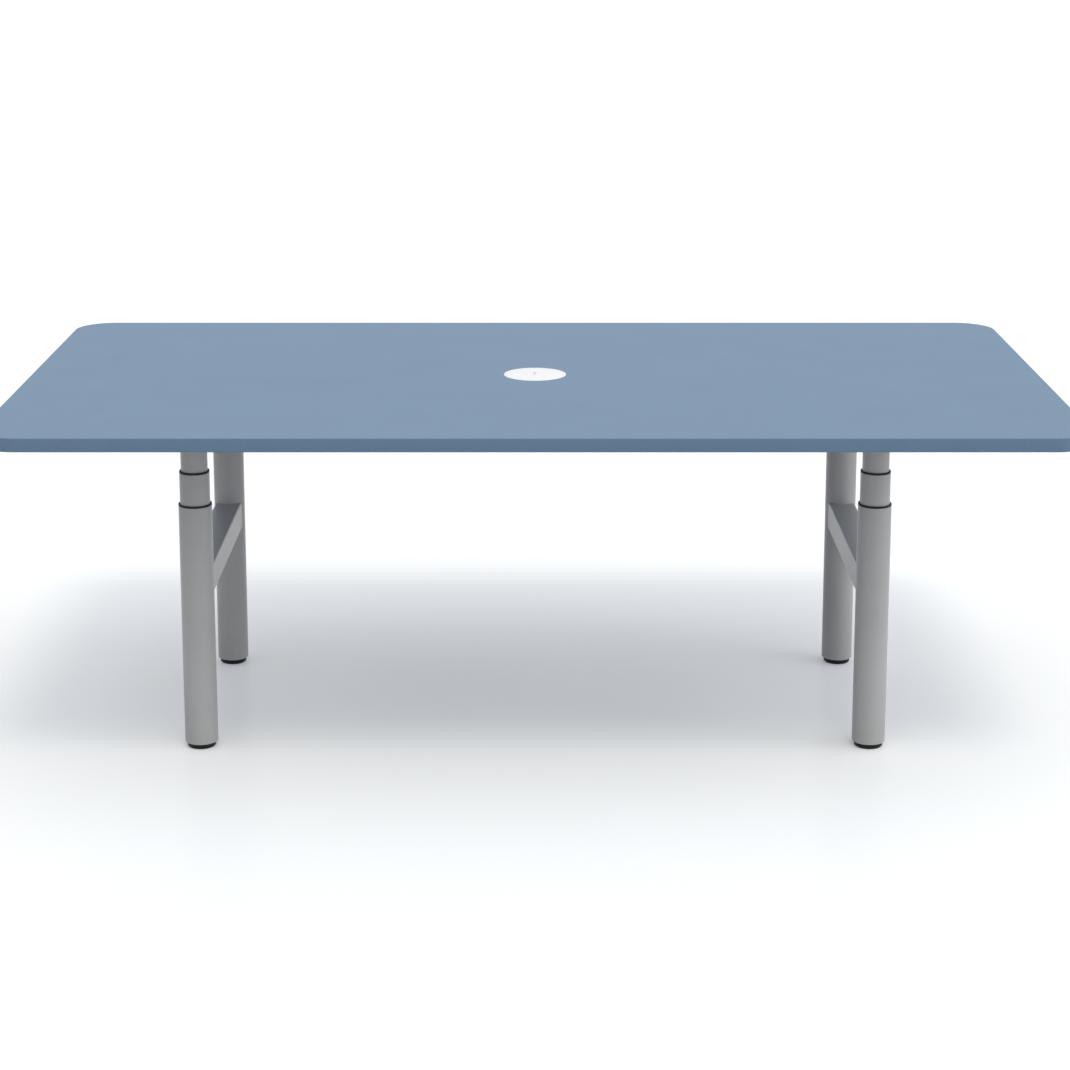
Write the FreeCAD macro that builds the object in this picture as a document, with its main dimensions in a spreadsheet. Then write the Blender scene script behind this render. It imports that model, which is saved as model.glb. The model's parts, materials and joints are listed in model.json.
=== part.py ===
import FreeCAD, Part
import math
import os
import Sketcher

# Height-adjustable meeting table: a board on four round three-stage lifting columns.
# Millimetres. X runs along the long side, Y from front to rear, Z up from the floor.
# The model stands at its seated height, raised a little from its lowest position.

Vector = FreeCAD.Vector
QUARTER_TURN = math.pi / 2
HALF = 0.5
# How near an edge has to lie to the place where it is looked for.
TOLERANCE = 1e-4

# Driving sizes.
SIZES = {
    # board and edging
    "top_length": 2200,
    "top_width": 1200,
    "top_thickness": 28,
    "top_corner_radius": 85,
    "band_thickness": 2,
    "band_round": 1.5,
    # cable port
    "port_flange_diameter": 136,
    "port_flange_thickness": 5,
    "port_bore": 108,
    "port_wall": 3,
    "port_drop": 6,
    "port_fit": 0.25,
    "port_rim_chamfer": 0.6,
    "lid_thickness": 2.5,
    "lid_rim_width": 5,
    "lid_gap": 0.3,
    "lid_chamfer": 0.5,
    "knob_diameter": 7,
    "knob_height": 5.5,
    "knob_neck_diameter": 4.5,
    "knob_neck_height": 1.8,
    "knob_crown": 1.2,
    # columns
    "leg_spacing_x": 1422,
    "leg_spacing_y": 553,
    "outer_diameter": 70,
    "outer_length": 518,
    "tube_wall": 2,
    "guide_gap": 1.5,
    "slide_clearance": 0.25,
    "ring_flange": 4,
    "ring_sleeve": 40,
    "ring_chamfer": 0.8,
    "closed_reveal": 16.5,
    "closing_gap": 33.5,
    "raised": 100,
    "stage_clearance": 4.5,
    "bush_height": 40,
    "bush_flange": 4,
    "bush_lip": 4,
    "slide_plug_thickness": 12,
    # levelling feet
    "foot_height": 12,
    "foot_diameter": 60,
    "foot_chamfer": 2.5,
    "stud_diameter": 10,
    "stud_length": 20,
    "stud_hole_spare": 4,
    "thread_clearance": 0.25,
    "base_plug_height": 30,
    # lifting screws
    "upper_spindle_diameter": 10,
    "upper_spindle_length": 356,
    "spindle_gap": 0.5,
    "lower_spindle_wall": 3,
    "pipe_bore_gap": 1,
    "pipe_gap": 1.5,
    "base_pipe_wall": 2.5,
    "middle_pipe_wall": 2.5,
    "nut_length": 30,
    "axial_gap": 0.2,
    "thrust_flange": 8,
    "spindle_chamfer": 1,
    # gear motors
    "motor_length": 157,
    "motor_gap": 2,
    "gearbox_height": 46,
    "motor_step": 2,
    "motor_flange": 12,
    # column heads
    "collar_height": 25,
    "collar_wall": 4,
    "collar_fillet": 5,
    "plate_thickness": 6,
    "plate_length": 140,
    "plate_side_gap": 2.5,
    "plate_corner_radius": 8,
    "plate_screw_edge": 12,
    # frame under the board
    "rail_length": 960,
    "rail_width": 84,
    "rail_height": 40,
    "rail_wall": 3,
    "rail_bend": 2,
    "rail_taper": 150,
    "rail_tip": 14,
    "rail_screw_inset": 40,
    "beam_spacing": 300,
    "beam_width": 30,
    "beam_height": 36,
    "beam_wall": 2,
    "beam_round": 3,
    "end_plate_width": 90,
    "end_plate_thickness": 4,
    "end_plate_round": 4,
    "bolt_edge": 15,
    "bolt_diameter": 8,
    "bolt_clearance": 0.25,
    "bolt_flats": 13,
    "bolt_head_height": 5.3,
    "bolt_nut_height": 6.5,
    "screw_diameter": 5,
    "screw_length": 24,
    "screw_head_diameter": 10,
    "screw_head_height": 3,
    # crossbars between the columns
    "crossbar_size": 60,
    "crossbar_wall": 2.5,
    "crossbar_round": 3,
    "crossbar_bottom": 330,
    # control box
    "box_x": 330,
    "box_length": 250,
    "box_width": 100,
    "box_height": 36,
    "box_corner_radius": 8,
    "box_edge_round": 3,
    "lug_length": 18,
    "lug_width": 36,
    "lug_thickness": 3,
    "socket_bay_width": 76,
    "socket_bay_height": 18,
    "socket_bay_depth": 10,
    # handset
    "handset_x": 330,
    "handset_width": 120,
    "handset_depth": 56,
    "handset_height": 20,
    "handset_rear_height": 10,
    "handset_setback": 3,
    "handset_round": 3,
    "handset_screw_edge": 14,
    "handset_screw_floor": 3,
    "handset_well_gap": 0.6,
    "button_width": 26,
    "button_height": 10,
    "button_spacing": 36,
    "button_proud": 1.5,
    "button_depth": 4,
    "button_gap": 0.3,
    "button_travel": 1.2,
    "button_round": 2,
}

# Sizes and levels that follow from the driving ones.
PLACES = {
    "leg_x": "Sizes.leg_spacing_x / 2",
    "leg_y": "Sizes.leg_spacing_y / 2",
    "outer_bore": "Sizes.outer_diameter - 2 * Sizes.tube_wall",
    "middle_diameter": "outer_bore - 2 * Sizes.guide_gap",
    "middle_bore": "middle_diameter - 2 * Sizes.tube_wall",
    "inner_diameter": "middle_bore - 2 * Sizes.guide_gap",
    "inner_bore": "inner_diameter - 2 * Sizes.tube_wall",
    "lower_bore": "Sizes.upper_spindle_diameter + 2 * Sizes.spindle_gap",
    "lower_diameter": "lower_bore + 2 * Sizes.lower_spindle_wall",
    "base_pipe_bore": "lower_diameter + 2 * Sizes.pipe_bore_gap",
    "base_pipe_diameter": "base_pipe_bore + 2 * Sizes.base_pipe_wall",
    "middle_pipe_bore": "base_pipe_diameter + 2 * Sizes.pipe_gap",
    "middle_pipe_diameter": "middle_pipe_bore + 2 * Sizes.middle_pipe_wall",
    "base_plug_top": "Sizes.foot_height + Sizes.base_plug_height",
    "outer_top": "Sizes.foot_height + Sizes.outer_length",
    "outer_ring_top": "outer_top + Sizes.ring_flange",
    "middle_top": "outer_ring_top + Sizes.closed_reveal + Sizes.raised / 2",
    "middle_ring_top": "middle_top + Sizes.ring_flange",
    "slide_foot": "base_plug_top + Sizes.stage_clearance + Sizes.raised / 2",
    "middle_bottom": "slide_foot + Sizes.bush_flange",
    "slide_plug_top": "middle_bottom + Sizes.slide_plug_thickness",
    "inner_foot": "slide_plug_top + Sizes.stage_clearance + Sizes.raised / 2",
    "inner_bottom": "inner_foot + Sizes.bush_flange",
    "collar_bottom": "middle_ring_top + Sizes.closing_gap + Sizes.raised / 2",
    "plate_bottom": "collar_bottom + Sizes.collar_height",
    "rail_ceiling": "plate_bottom + Sizes.plate_thickness",
    "underside": "rail_ceiling + Sizes.rail_wall",
    "top_surface": "underside + Sizes.top_thickness",
    "rail_bottom": "underside - Sizes.rail_height",
    "motor_bottom": "plate_bottom - Sizes.motor_length",
    "middle_nut_top": "motor_bottom - Sizes.stage_clearance - Sizes.raised / 2",
    "middle_nut_bottom": "middle_nut_top - Sizes.nut_length",
    "lower_top": "middle_nut_bottom - Sizes.axial_gap",
    "lower_bottom": "slide_foot",
    "thrust_bottom": "lower_top - Sizes.thrust_flange",
    "base_nut_top": "thrust_bottom - Sizes.stage_clearance - Sizes.raised / 2",
    "base_nut_bottom": "base_nut_top - Sizes.nut_length",
    "upper_top": "motor_bottom - Sizes.axial_gap",
    "upper_bottom": "upper_top - Sizes.upper_spindle_length",
    "beam_span": "Sizes.leg_spacing_x - Sizes.rail_width",
    "beam_y": "Sizes.beam_spacing / 2",
    "bolt_offset": "Sizes.end_plate_width / 2 - Sizes.bolt_edge",
    "bolt_level": "underside - Sizes.beam_height / 2",
    "plate_width": "Sizes.rail_width - 2 * Sizes.rail_wall - 2 * Sizes.plate_side_gap",
    "plate_screw_x": "plate_width / 2 - Sizes.plate_screw_edge",
    "plate_screw_y": "Sizes.plate_length / 2 - Sizes.plate_screw_edge",
    "rail_screw_y": "Sizes.rail_length / 2 - Sizes.rail_screw_inset",
    "lug_screw_reach": "Sizes.box_length / 2 + Sizes.lug_length / 2",
    "lid_recess": "Sizes.port_flange_diameter - 2 * Sizes.lid_rim_width",
    "lid_diameter": "lid_recess - 2 * Sizes.lid_gap",
    "lid_seat": "top_surface - Sizes.lid_thickness",
    "port_tube_diameter": "Sizes.port_bore + 2 * Sizes.port_wall",
    "handset_front": "Sizes.top_width / 2 - Sizes.handset_setback",
    "handset_rear": "handset_front - Sizes.handset_depth",
    "handset_floor": "underside - Sizes.handset_height",
    "handset_screw_x": "Sizes.handset_width / 2 - Sizes.handset_screw_edge",
    "handset_screw_y": "handset_rear + Sizes.handset_screw_edge",
    "handset_screw_seat": "underside - Sizes.handset_screw_floor",
    "button_level": "underside - Sizes.handset_height / 2",
    "button_back": "handset_front - Sizes.button_depth",
    "button_pocket": "Sizes.button_depth + Sizes.button_travel + Sizes.button_gap",
    "socket_bay_level": "underside - Sizes.box_height / 2",
}

# Signs of X and Y at the four columns.
CORNERS = {
    "front_left": (-1, -1),
    "front_right": (1, -1),
    "rear_left": (-1, 1),
    "rear_right": (1, 1),
}
SIDES = {"left": -1, "right": 1}
LONG_SIDES = {"front": -1, "rear": 1}

doc = FreeCAD.newDocument("MeetingTable")
sub_parts = []


def fill_sheet(name, cells):
    """Spreadsheet with one named cell per row."""
    sheet = doc.addObject("Spreadsheet::Sheet", name)
    for row, (alias, content) in enumerate(cells.items(), start=1):
        sheet.set("A%d" % row, alias)
        sheet.set("B%d" % row, str(content))
        sheet.setAlias("B%d" % row, alias)
    doc.recompute()
    return sheet


sizes = fill_sheet("Sizes", SIZES)
fill_sheet("Places", {alias: "=" + formula for alias, formula in PLACES.items()})


def value(expression):
    """Present number of an expression over the sheets."""
    return float(sizes.evalExpression(expression))


def new_body(name):
    """Body of one sub-part, listed for writing."""
    body = doc.addObject("PartDesign::Body", name)
    body.Label = name
    sub_parts.append(body)
    return body


def origin_plane(body, role):
    """One of the body's own origin planes."""
    return next(plane for plane in body.Origin.OriginFeatures if plane.Role == role)


def place(body, **offsets):
    """Bind the body's place to expressions."""
    for axis, expression in offsets.items():
        body.setExpression("Placement.Base." + axis, expression)


def place_at_leg(body, corner):
    """Put a body on the axis of one column."""
    sign_x, sign_y = CORNERS[corner]
    place(body, x="%d * Places.leg_x" % sign_x, y="%d * Places.leg_y" % sign_y)


def sketch_on(body, role, **offsets):
    """Sketch on an origin plane, shifted by expressions along the plane's own axes."""
    sketch = body.newObject("Sketcher::SketchObject", body.Name + "_sketch")
    sketch.AttachmentSupport = [(origin_plane(body, role), "")]
    sketch.MapMode = "FlatFace"
    for axis, expression in offsets.items():
        sketch.setExpression("AttachmentOffset.Base." + axis, expression)
    return sketch


def dimension(sketch, kind, expression, *where):
    """Driving constraint bound to an expression."""
    index = sketch.addConstraint(Sketcher.Constraint(kind, *where, value(expression)))
    sketch.setExpression("Constraints[%d]" % index, expression)


def locate(sketch, element, point, x, y):
    """Fix a point of an element by its two coordinates."""
    dimension(sketch, "DistanceX", x, -1, 1, element, point)
    dimension(sketch, "DistanceY", y, -1, 1, element, point)


def outline(sketch, points):
    """Closed outline of straight lines through points given as pairs of expressions."""
    corners = [Vector(value(x), value(y), 0) for x, y in points]
    ends = corners[1:] + corners[:1]
    lines = [sketch.addGeometry(Part.LineSegment(a, b)) for a, b in zip(corners, ends)]
    for line, following in zip(lines, lines[1:] + lines[:1]):
        sketch.addConstraint(Sketcher.Constraint("Coincident", line, 2, following, 1))
    for line, (x, y) in zip(lines, points):
        locate(sketch, line, 1, x, y)


def rectangle(sketch, width, height, x="0", y="0"):
    """Rectangle of straight lines about a centre."""
    left, right = ["%s %s (%s) / 2" % (x, sign, width) for sign in "-+"]
    low, high = ["%s %s (%s) / 2" % (y, sign, height) for sign in "-+"]
    outline(sketch, [(left, low), (right, low), (right, high), (left, high)])


def rounded_rectangle(sketch, width, height, radius, x="0", y="0"):
    """Rectangle about a centre with an arc at each corner, tangent to its sides."""
    signs = [(1, 1), (-1, 1), (-1, -1), (1, -1)]
    centre_x = "%s + %d * ((%s) / 2 - %s)"
    arcs = []
    centres = []
    for turn, (sign_x, sign_y) in enumerate(signs):
        at_x = centre_x % (x, sign_x, width, radius)
        at_y = centre_x % (y, sign_y, height, radius)
        circle = Part.Circle(Vector(value(at_x), value(at_y), 0), Vector(0, 0, 1), value(radius))
        arc = Part.ArcOfCircle(circle, turn * QUARTER_TURN, (turn + 1) * QUARTER_TURN)
        arcs.append(sketch.addGeometry(arc))
        centres.append((at_x, at_y))
    for arc, following in zip(arcs, arcs[1:] + arcs[:1]):
        start = sketch.Geometry[arc].EndPoint
        end = sketch.Geometry[following].StartPoint
        line = sketch.addGeometry(Part.LineSegment(start, end))
        sketch.addConstraint(Sketcher.Constraint("Tangent", arc, 2, line, 1))
        sketch.addConstraint(Sketcher.Constraint("Tangent", line, 2, following, 1))
    for arc, (at_x, at_y) in zip(arcs, centres):
        dimension(sketch, "Radius", radius, arc)
        locate(sketch, arc, 3, at_x, at_y)


def circle(sketch, diameter, x="0", y="0"):
    """Circle about a centre."""
    radius = "(%s) / 2" % diameter
    ring = Part.Circle(Vector(value(x), value(y), 0), Vector(0, 0, 1), value(radius))
    element = sketch.addGeometry(ring)
    dimension(sketch, "Radius", radius, element)
    locate(sketch, element, 3, x, y)


def hexagon(sketch, flats, x, y):
    """Hexagon across its flats, corners to the left and right."""
    corner = "(%s) / sqrt(3)" % flats
    steps = [(1, 0), (HALF, HALF), (-HALF, HALF), (-1, 0), (-HALF, -HALF), (HALF, -HALF)]
    points = []
    for along, across in steps:
        points.append(("%s + %s * %s" % (x, along, corner), "%s + %s * (%s)" % (y, across, flats)))
    outline(sketch, points)


def pad(body, sketch, length):
    """Extrude along the sketch's normal."""
    feature = body.newObject("PartDesign::Pad", body.Name + "_pad")
    feature.Profile = sketch
    feature.setExpression("Length", length)
    doc.recompute()
    return feature


def pocket(body, sketch, depth, along=False):
    """Cut against the sketch's normal, or along it; the cut has to take material away."""
    before = body.Shape.Volume
    feature = body.newObject("PartDesign::Pocket", body.Name + "_pocket")
    feature.Profile = sketch
    feature.Reversed = along
    feature.setExpression("Length", depth)
    doc.recompute()
    if body.Shape.Volume >= before:
        raise RuntimeError("a pocket in %s cuts nothing" % body.Label)


def revolve(body, sketch):
    """Turn the sketch once round its own vertical axis."""
    feature = body.newObject("PartDesign::Revolution", body.Name + "_turned")
    feature.Profile = sketch
    feature.ReferenceAxis = (sketch, ["V_Axis"])
    feature.Angle = 360
    doc.recompute()
    return feature


def fillet(body, base, radius, chosen):
    """Round the edges of a feature that the test picks."""
    names = ["Edge%d" % n for n, edge in enumerate(base.Shape.Edges, start=1) if chosen(edge)]
    feature = body.newObject("PartDesign::Fillet", body.Name + "_fillet")
    feature.Base = (base, names)
    feature.setExpression("Radius", radius)
    doc.recompute()
    return feature


def mirror_to_all_corners(body, features):
    """Repeat features across the two upright middle planes, which gives four of each."""
    mirrors = []
    for role in ("YZ_Plane", "XZ_Plane"):
        mirror = doc.addObject("PartDesign::Mirrored", body.Name + "_mirror")
        mirror.MirrorPlane = (origin_plane(body, role), [""])
        mirrors.append(mirror)
    pattern = body.newObject("PartDesign::MultiTransform", body.Name + "_corners")
    pattern.Originals = features
    pattern.Transformations = mirrors
    body.Tip = pattern
    doc.recompute()


def is_level(height):
    """Test for edges that lie flat at a height."""
    def chosen(edge):
        box = edge.BoundBox
        return abs(box.ZMin - height) < TOLERANCE and abs(box.ZMax - height) < TOLERANCE
    return chosen


def is_lengthwise(reach, height):
    """Test for edges along Y at a height, the reach to either side of the middle."""
    flat = is_level(height)

    def chosen(edge):
        box = edge.BoundBox
        beside = [abs(abs(x) - reach) < TOLERANCE for x in (box.XMin, box.XMax)]
        return flat(edge) and all(beside) and box.XLength < TOLERANCE
    return chosen


def tube(name, corner, diameter, bore, bottom, top):
    """Round tube of one column."""
    body = new_body(name)
    sketch = sketch_on(body, "XY_Plane", z=bottom)
    circle(sketch, diameter)
    circle(sketch, bore)
    pad(body, sketch, "%s - %s" % (top, bottom))
    place_at_leg(body, corner)


def turned(name, points, corner=None):
    """Solid turned from a half section of radius and height pairs."""
    body = new_body(name)
    sketch = sketch_on(body, "XZ_Plane")
    outline(sketch, points)
    revolve(body, sketch)
    if corner:
        place_at_leg(body, corner)


def turned_in_each_column(name, points):
    """Group of four turned solids, one on the axis of each column."""
    body = new_body(name)
    sketch = sketch_on(body, "XZ_Plane", x="Places.leg_x", z="-Places.leg_y")
    outline(sketch, points)
    mirror_to_all_corners(body, [revolve(body, sketch)])


# Board: screw holes from below, port hole with a rebate for the collar's flange from above.
def screw_places():
    """Centres of the board's screws with the level under each screw's head."""
    heads = []
    for sign_x in "-+":
        for sign_y in "-+":
            heads.append((
                "Places.leg_x %s Places.plate_screw_x" % sign_x,
                "Places.leg_y %s Places.plate_screw_y" % sign_y,
            ))
    rail_ends = [("Places.leg_x", "Places.rail_screw_y")]
    return {"Places.plate_bottom": heads, "Places.rail_ceiling": rail_ends}


def single_screw_places():
    """Screws that aren't mirrored: those of the control box and the handset."""
    box = [("Sizes.box_x %s Places.lug_screw_reach" % sign, "0") for sign in "-+"]
    handset = []
    for sign in "-+":
        handset.append(("Sizes.handset_x %s Places.handset_screw_x" % sign, "Places.handset_screw_y"))
    return {"Places.underside - Sizes.lug_thickness": box, "Places.handset_screw_seat": handset}


def all_quadrants(points):
    """The same places in the four quarters of the table."""
    spread = []
    for sign_x in "-+":
        for sign_y in "-+":
            spread += [("%s(%s)" % (sign_x, x), "%s(%s)" % (sign_y, y)) for x, y in points]
    return spread


def tabletop():
    body = new_body("tabletop")
    board = sketch_on(body, "XY_Plane", z="Places.underside")
    rounded_rectangle(
        board,
        "Sizes.top_length - 2 * Sizes.band_thickness",
        "Sizes.top_width - 2 * Sizes.band_thickness",
        "(Sizes.top_corner_radius - Sizes.band_thickness)",
    )
    pad(body, board, "Sizes.top_thickness")
    rebate = sketch_on(body, "XY_Plane", z="Places.top_surface")
    circle(rebate, "Sizes.port_flange_diameter + 2 * Sizes.port_fit")
    pocket(body, rebate, "Sizes.port_flange_thickness")
    hole = sketch_on(body, "XY_Plane", z="Places.top_surface")
    circle(hole, "Places.port_tube_diameter + 2 * Sizes.port_fit")
    pocket(body, hole, "Sizes.top_thickness")
    groups = {seat: all_quadrants(points) for seat, points in screw_places().items()}
    groups.update(single_screw_places())
    for seat, points in groups.items():
        end = "%s + Sizes.screw_length" % seat
        pilot = sketch_on(body, "XY_Plane", z=end)
        for x, y in points:
            circle(pilot, "Sizes.screw_diameter", x, y)
        pocket(body, pilot, "%s - Places.underside" % end)


def edge_band():
    body = new_body("edge_band")
    outside = sketch_on(body, "XY_Plane", z="Places.underside")
    rounded_rectangle(outside, "Sizes.top_length", "Sizes.top_width", "Sizes.top_corner_radius")
    block = pad(body, outside, "Sizes.top_thickness")
    levels = [is_level(value("Places.underside")), is_level(value("Places.top_surface"))]
    fillet(body, block, "Sizes.band_round", lambda edge: any(test(edge) for test in levels))
    inside = sketch_on(body, "XY_Plane", z="Places.top_surface")
    rounded_rectangle(
        inside,
        "Sizes.top_length - 2 * Sizes.band_thickness",
        "Sizes.top_width - 2 * Sizes.band_thickness",
        "(Sizes.top_corner_radius - Sizes.band_thickness)",
    )
    pocket(body, inside, "Sizes.top_thickness")


# Cable port: the collar's flange lies flush in the board and the lid flush in the flange.
def cable_port():
    bore = "Sizes.port_bore / 2"
    tube_radius = "Places.port_tube_diameter / 2"
    flange = "Sizes.port_flange_diameter / 2"
    recess = "Places.lid_recess / 2"
    bottom = "Places.underside - Sizes.port_drop"
    flange_bottom = "Places.top_surface - Sizes.port_flange_thickness"
    turned("port_collar", [
        (bore, bottom),
        (tube_radius, bottom),
        (tube_radius, flange_bottom),
        (flange, flange_bottom),
        (flange, "Places.top_surface - Sizes.port_rim_chamfer"),
        (flange + " - Sizes.port_rim_chamfer", "Places.top_surface"),
        (recess, "Places.top_surface"),
        (recess, "Places.lid_seat"),
        (bore, "Places.lid_seat"),
    ])
    lid = "Places.lid_diameter / 2"
    turned("port_lid", [
        ("0", "Places.lid_seat"),
        (lid, "Places.lid_seat"),
        (lid, "Places.top_surface - Sizes.lid_chamfer"),
        (lid + " - Sizes.lid_chamfer", "Places.top_surface"),
        ("0", "Places.top_surface"),
    ])
    neck = "Sizes.knob_neck_diameter / 2"
    knob = "Sizes.knob_diameter / 2"
    neck_top = "Places.top_surface + Sizes.knob_neck_height"
    knob_top = "Places.top_surface + Sizes.knob_height"
    turned("port_lid_knob", [
        ("0", "Places.top_surface"),
        (neck, "Places.top_surface"),
        (neck, neck_top),
        (knob, neck_top),
        (knob, knob_top + " - Sizes.knob_crown"),
        (knob + " - Sizes.knob_crown", knob_top),
        ("0", knob_top),
    ])


# Columns: three round tubes, each guided by a black ring on the tube outside it.
def guide_ring(name, corner, inside, seat, rim, seat_level):
    """Ring with a sleeve in the tube and a flange on the tube's end."""
    bore = "%s / 2 + Sizes.slide_clearance" % inside
    sleeve = "%s / 2" % seat
    flange = "%s / 2" % rim
    top = "%s + Sizes.ring_flange" % seat_level
    turned(name, [
        (bore, "%s - Sizes.ring_sleeve" % seat_level),
        (sleeve, "%s - Sizes.ring_sleeve" % seat_level),
        (sleeve, seat_level),
        (flange, seat_level),
        (flange, top + " - Sizes.ring_chamfer"),
        (flange + " - Sizes.ring_chamfer", top),
        (bore, top),
    ], corner)


def column_tubes(corner):
    tube(
        "outer_tube_" + corner, corner,
        "Sizes.outer_diameter", "Places.outer_bore", "Sizes.foot_height", "Places.outer_top",
    )
    tube(
        "middle_tube_" + corner, corner,
        "Places.middle_diameter", "Places.middle_bore", "Places.middle_bottom", "Places.middle_top",
    )
    tube(
        "inner_tube_" + corner, corner,
        "Places.inner_diameter", "Places.inner_bore", "Places.inner_bottom", "Places.plate_bottom",
    )
    guide_ring(
        "outer_guide_ring_" + corner, corner,
        "Places.middle_diameter", "Places.outer_bore", "Sizes.outer_diameter", "Places.outer_top",
    )
    guide_ring(
        "middle_guide_ring_" + corner, corner,
        "Places.inner_diameter", "Places.middle_bore", "Places.middle_diameter", "Places.middle_top",
    )


def foot(corner):
    """Round pad with the stud that screws into the column's bottom plug."""
    pad_radius = "Sizes.foot_diameter / 2"
    stud = "Sizes.stud_diameter / 2"
    stud_top = "Sizes.foot_height + Sizes.stud_length"
    turned("foot_" + corner, [
        ("0", "0"),
        (pad_radius + " - Sizes.foot_chamfer", "0"),
        (pad_radius, "Sizes.foot_chamfer"),
        (pad_radius, "Sizes.foot_height"),
        (stud, "Sizes.foot_height"),
        (stud, stud_top),
        ("0", stud_top),
    ], corner)


# Lifting drive: the motor in the inner tube turns the upper screw in the nut of the middle
# pipe, and the hollow lower screw around it turns in the nut of the base pipe.
def base_drive_pipes():
    """Bottom plug of each column with the stud hole below and the nut pipe above."""
    plug = "Places.outer_bore / 2"
    stud_hole = "Sizes.stud_diameter / 2 + Sizes.thread_clearance"
    stud_hole_top = "Sizes.foot_height + Sizes.stud_length + Sizes.stud_hole_spare"
    pipe = "Places.base_pipe_diameter / 2"
    bore = "Places.base_pipe_bore / 2"
    nut = "Places.lower_diameter / 2 + Sizes.thread_clearance"
    turned_in_each_column("base_drive_pipes", [
        (stud_hole, "Sizes.foot_height"),
        (plug, "Sizes.foot_height"),
        (plug, "Places.base_plug_top"),
        (pipe, "Places.base_plug_top"),
        (pipe, "Places.base_nut_top"),
        (nut, "Places.base_nut_top"),
        (nut, "Places.base_nut_bottom"),
        (bore, "Places.base_nut_bottom"),
        (bore, "Places.base_plug_top"),
        ("0", "Places.base_plug_top"),
        ("0", stud_hole_top),
        (stud_hole, stud_hole_top),
    ])


def middle_drive_pipe(corner):
    """Slide bush and plug on the middle tube's foot, with the pipe and nut above them."""
    bore = "Places.middle_pipe_bore / 2"
    pipe = "Places.middle_pipe_diameter / 2"
    bush = "Places.outer_bore / 2 - Sizes.slide_clearance"
    bush_top = "Places.middle_bottom + Sizes.bush_height"
    tube_outside = "Places.middle_diameter / 2"
    tube_inside = "Places.middle_bore / 2"
    nut = "Sizes.upper_spindle_diameter / 2 + Sizes.thread_clearance"
    turned("middle_drive_pipe_" + corner, [
        (bore, "Places.slide_foot"),
        (bush, "Places.slide_foot"),
        (bush, bush_top),
        (tube_outside, bush_top),
        (tube_outside, "Places.middle_bottom"),
        (tube_inside, "Places.middle_bottom"),
        (tube_inside, "Places.slide_plug_top"),
        (pipe, "Places.slide_plug_top"),
        (pipe, "Places.middle_nut_top"),
        (nut, "Places.middle_nut_top"),
        (nut, "Places.middle_nut_bottom"),
        (bore, "Places.middle_nut_bottom"),
    ], corner)


def inner_end_bushes():
    """Slide bush round the foot of each inner tube."""
    opening = "Places.inner_bore / 2 - Sizes.bush_lip"
    bush = "Places.middle_bore / 2 - Sizes.slide_clearance"
    bush_top = "Places.inner_bottom + Sizes.bush_height"
    tube_outside = "Places.inner_diameter / 2"
    turned_in_each_column("inner_end_bushes", [
        (opening, "Places.inner_foot"),
        (bush, "Places.inner_foot"),
        (bush, bush_top),
        (tube_outside, bush_top),
        (tube_outside, "Places.inner_bottom"),
        (opening, "Places.inner_bottom"),
    ])


def spindles(corner):
    """Upper lifting screw, and the hollow lower one that hangs under the middle nut."""
    upper = "Sizes.upper_spindle_diameter / 2"
    turned("upper_spindle_" + corner, [
        ("0", "Places.upper_bottom"),
        (upper + " - Sizes.spindle_chamfer", "Places.upper_bottom"),
        (upper, "Places.upper_bottom + Sizes.spindle_chamfer"),
        (upper, "Places.upper_top"),
        ("0", "Places.upper_top"),
    ], corner)
    bore = "Places.lower_bore / 2"
    lower = "Places.lower_diameter / 2"
    flange = "Places.middle_pipe_bore / 2 - Sizes.slide_clearance"
    turned("lower_spindle_" + corner, [
        (bore, "Places.lower_bottom"),
        (lower + " - Sizes.spindle_chamfer", "Places.lower_bottom"),
        (lower, "Places.lower_bottom + Sizes.spindle_chamfer"),
        (lower, "Places.thrust_bottom"),
        (flange, "Places.thrust_bottom"),
        (flange, "Places.lower_top"),
        (bore, "Places.lower_top"),
    ], corner)


def gear_motors():
    """Gearbox below, slimmer motor above it and the flange under the column head."""
    wide = "Places.inner_bore / 2 - Sizes.motor_gap"
    slim = wide + " - Sizes.motor_step"
    gearbox_top = "Places.motor_bottom + Sizes.gearbox_height"
    flange_bottom = "Places.plate_bottom - Sizes.motor_flange"
    turned_in_each_column("gear_motors", [
        ("0", "Places.motor_bottom"),
        (wide, "Places.motor_bottom"),
        (wide, gearbox_top),
        (slim, gearbox_top),
        (slim, flange_bottom),
        (wide, flange_bottom),
        (wide, "Places.plate_bottom"),
        ("0", "Places.plate_bottom"),
    ])


def column_head(corner):
    """Plate inside the rail with the socket that holds the inner tube."""
    body = new_body("column_head_" + corner)
    plate = sketch_on(body, "XY_Plane", z="Places.plate_bottom")
    rounded_rectangle(plate, "Places.plate_width", "Sizes.plate_length", "Sizes.plate_corner_radius")
    pad(body, plate, "Sizes.plate_thickness")
    socket = sketch_on(body, "XY_Plane", z="Places.collar_bottom")
    circle(socket, "Places.inner_diameter + 2 * Sizes.collar_wall")
    circle(socket, "Places.inner_diameter")
    collar = pad(body, socket, "Sizes.collar_height")
    root = is_level(value("Places.plate_bottom"))
    breadth = value("Places.inner_diameter + 2 * Sizes.collar_wall")
    fillet(
        body, collar, "Sizes.collar_fillet",
        lambda edge: root(edge) and abs(edge.BoundBox.XLength - breadth) < TOLERANCE,
    )
    holes = sketch_on(body, "XY_Plane", z="Places.rail_ceiling")
    for sign_x in "-+":
        for sign_y in "-+":
            circle(
                holes, "Sizes.screw_diameter",
                sign_x + "Places.plate_screw_x", sign_y + "Places.plate_screw_y",
            )
    pocket(body, holes, "Sizes.plate_thickness")
    place_at_leg(body, corner)


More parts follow.
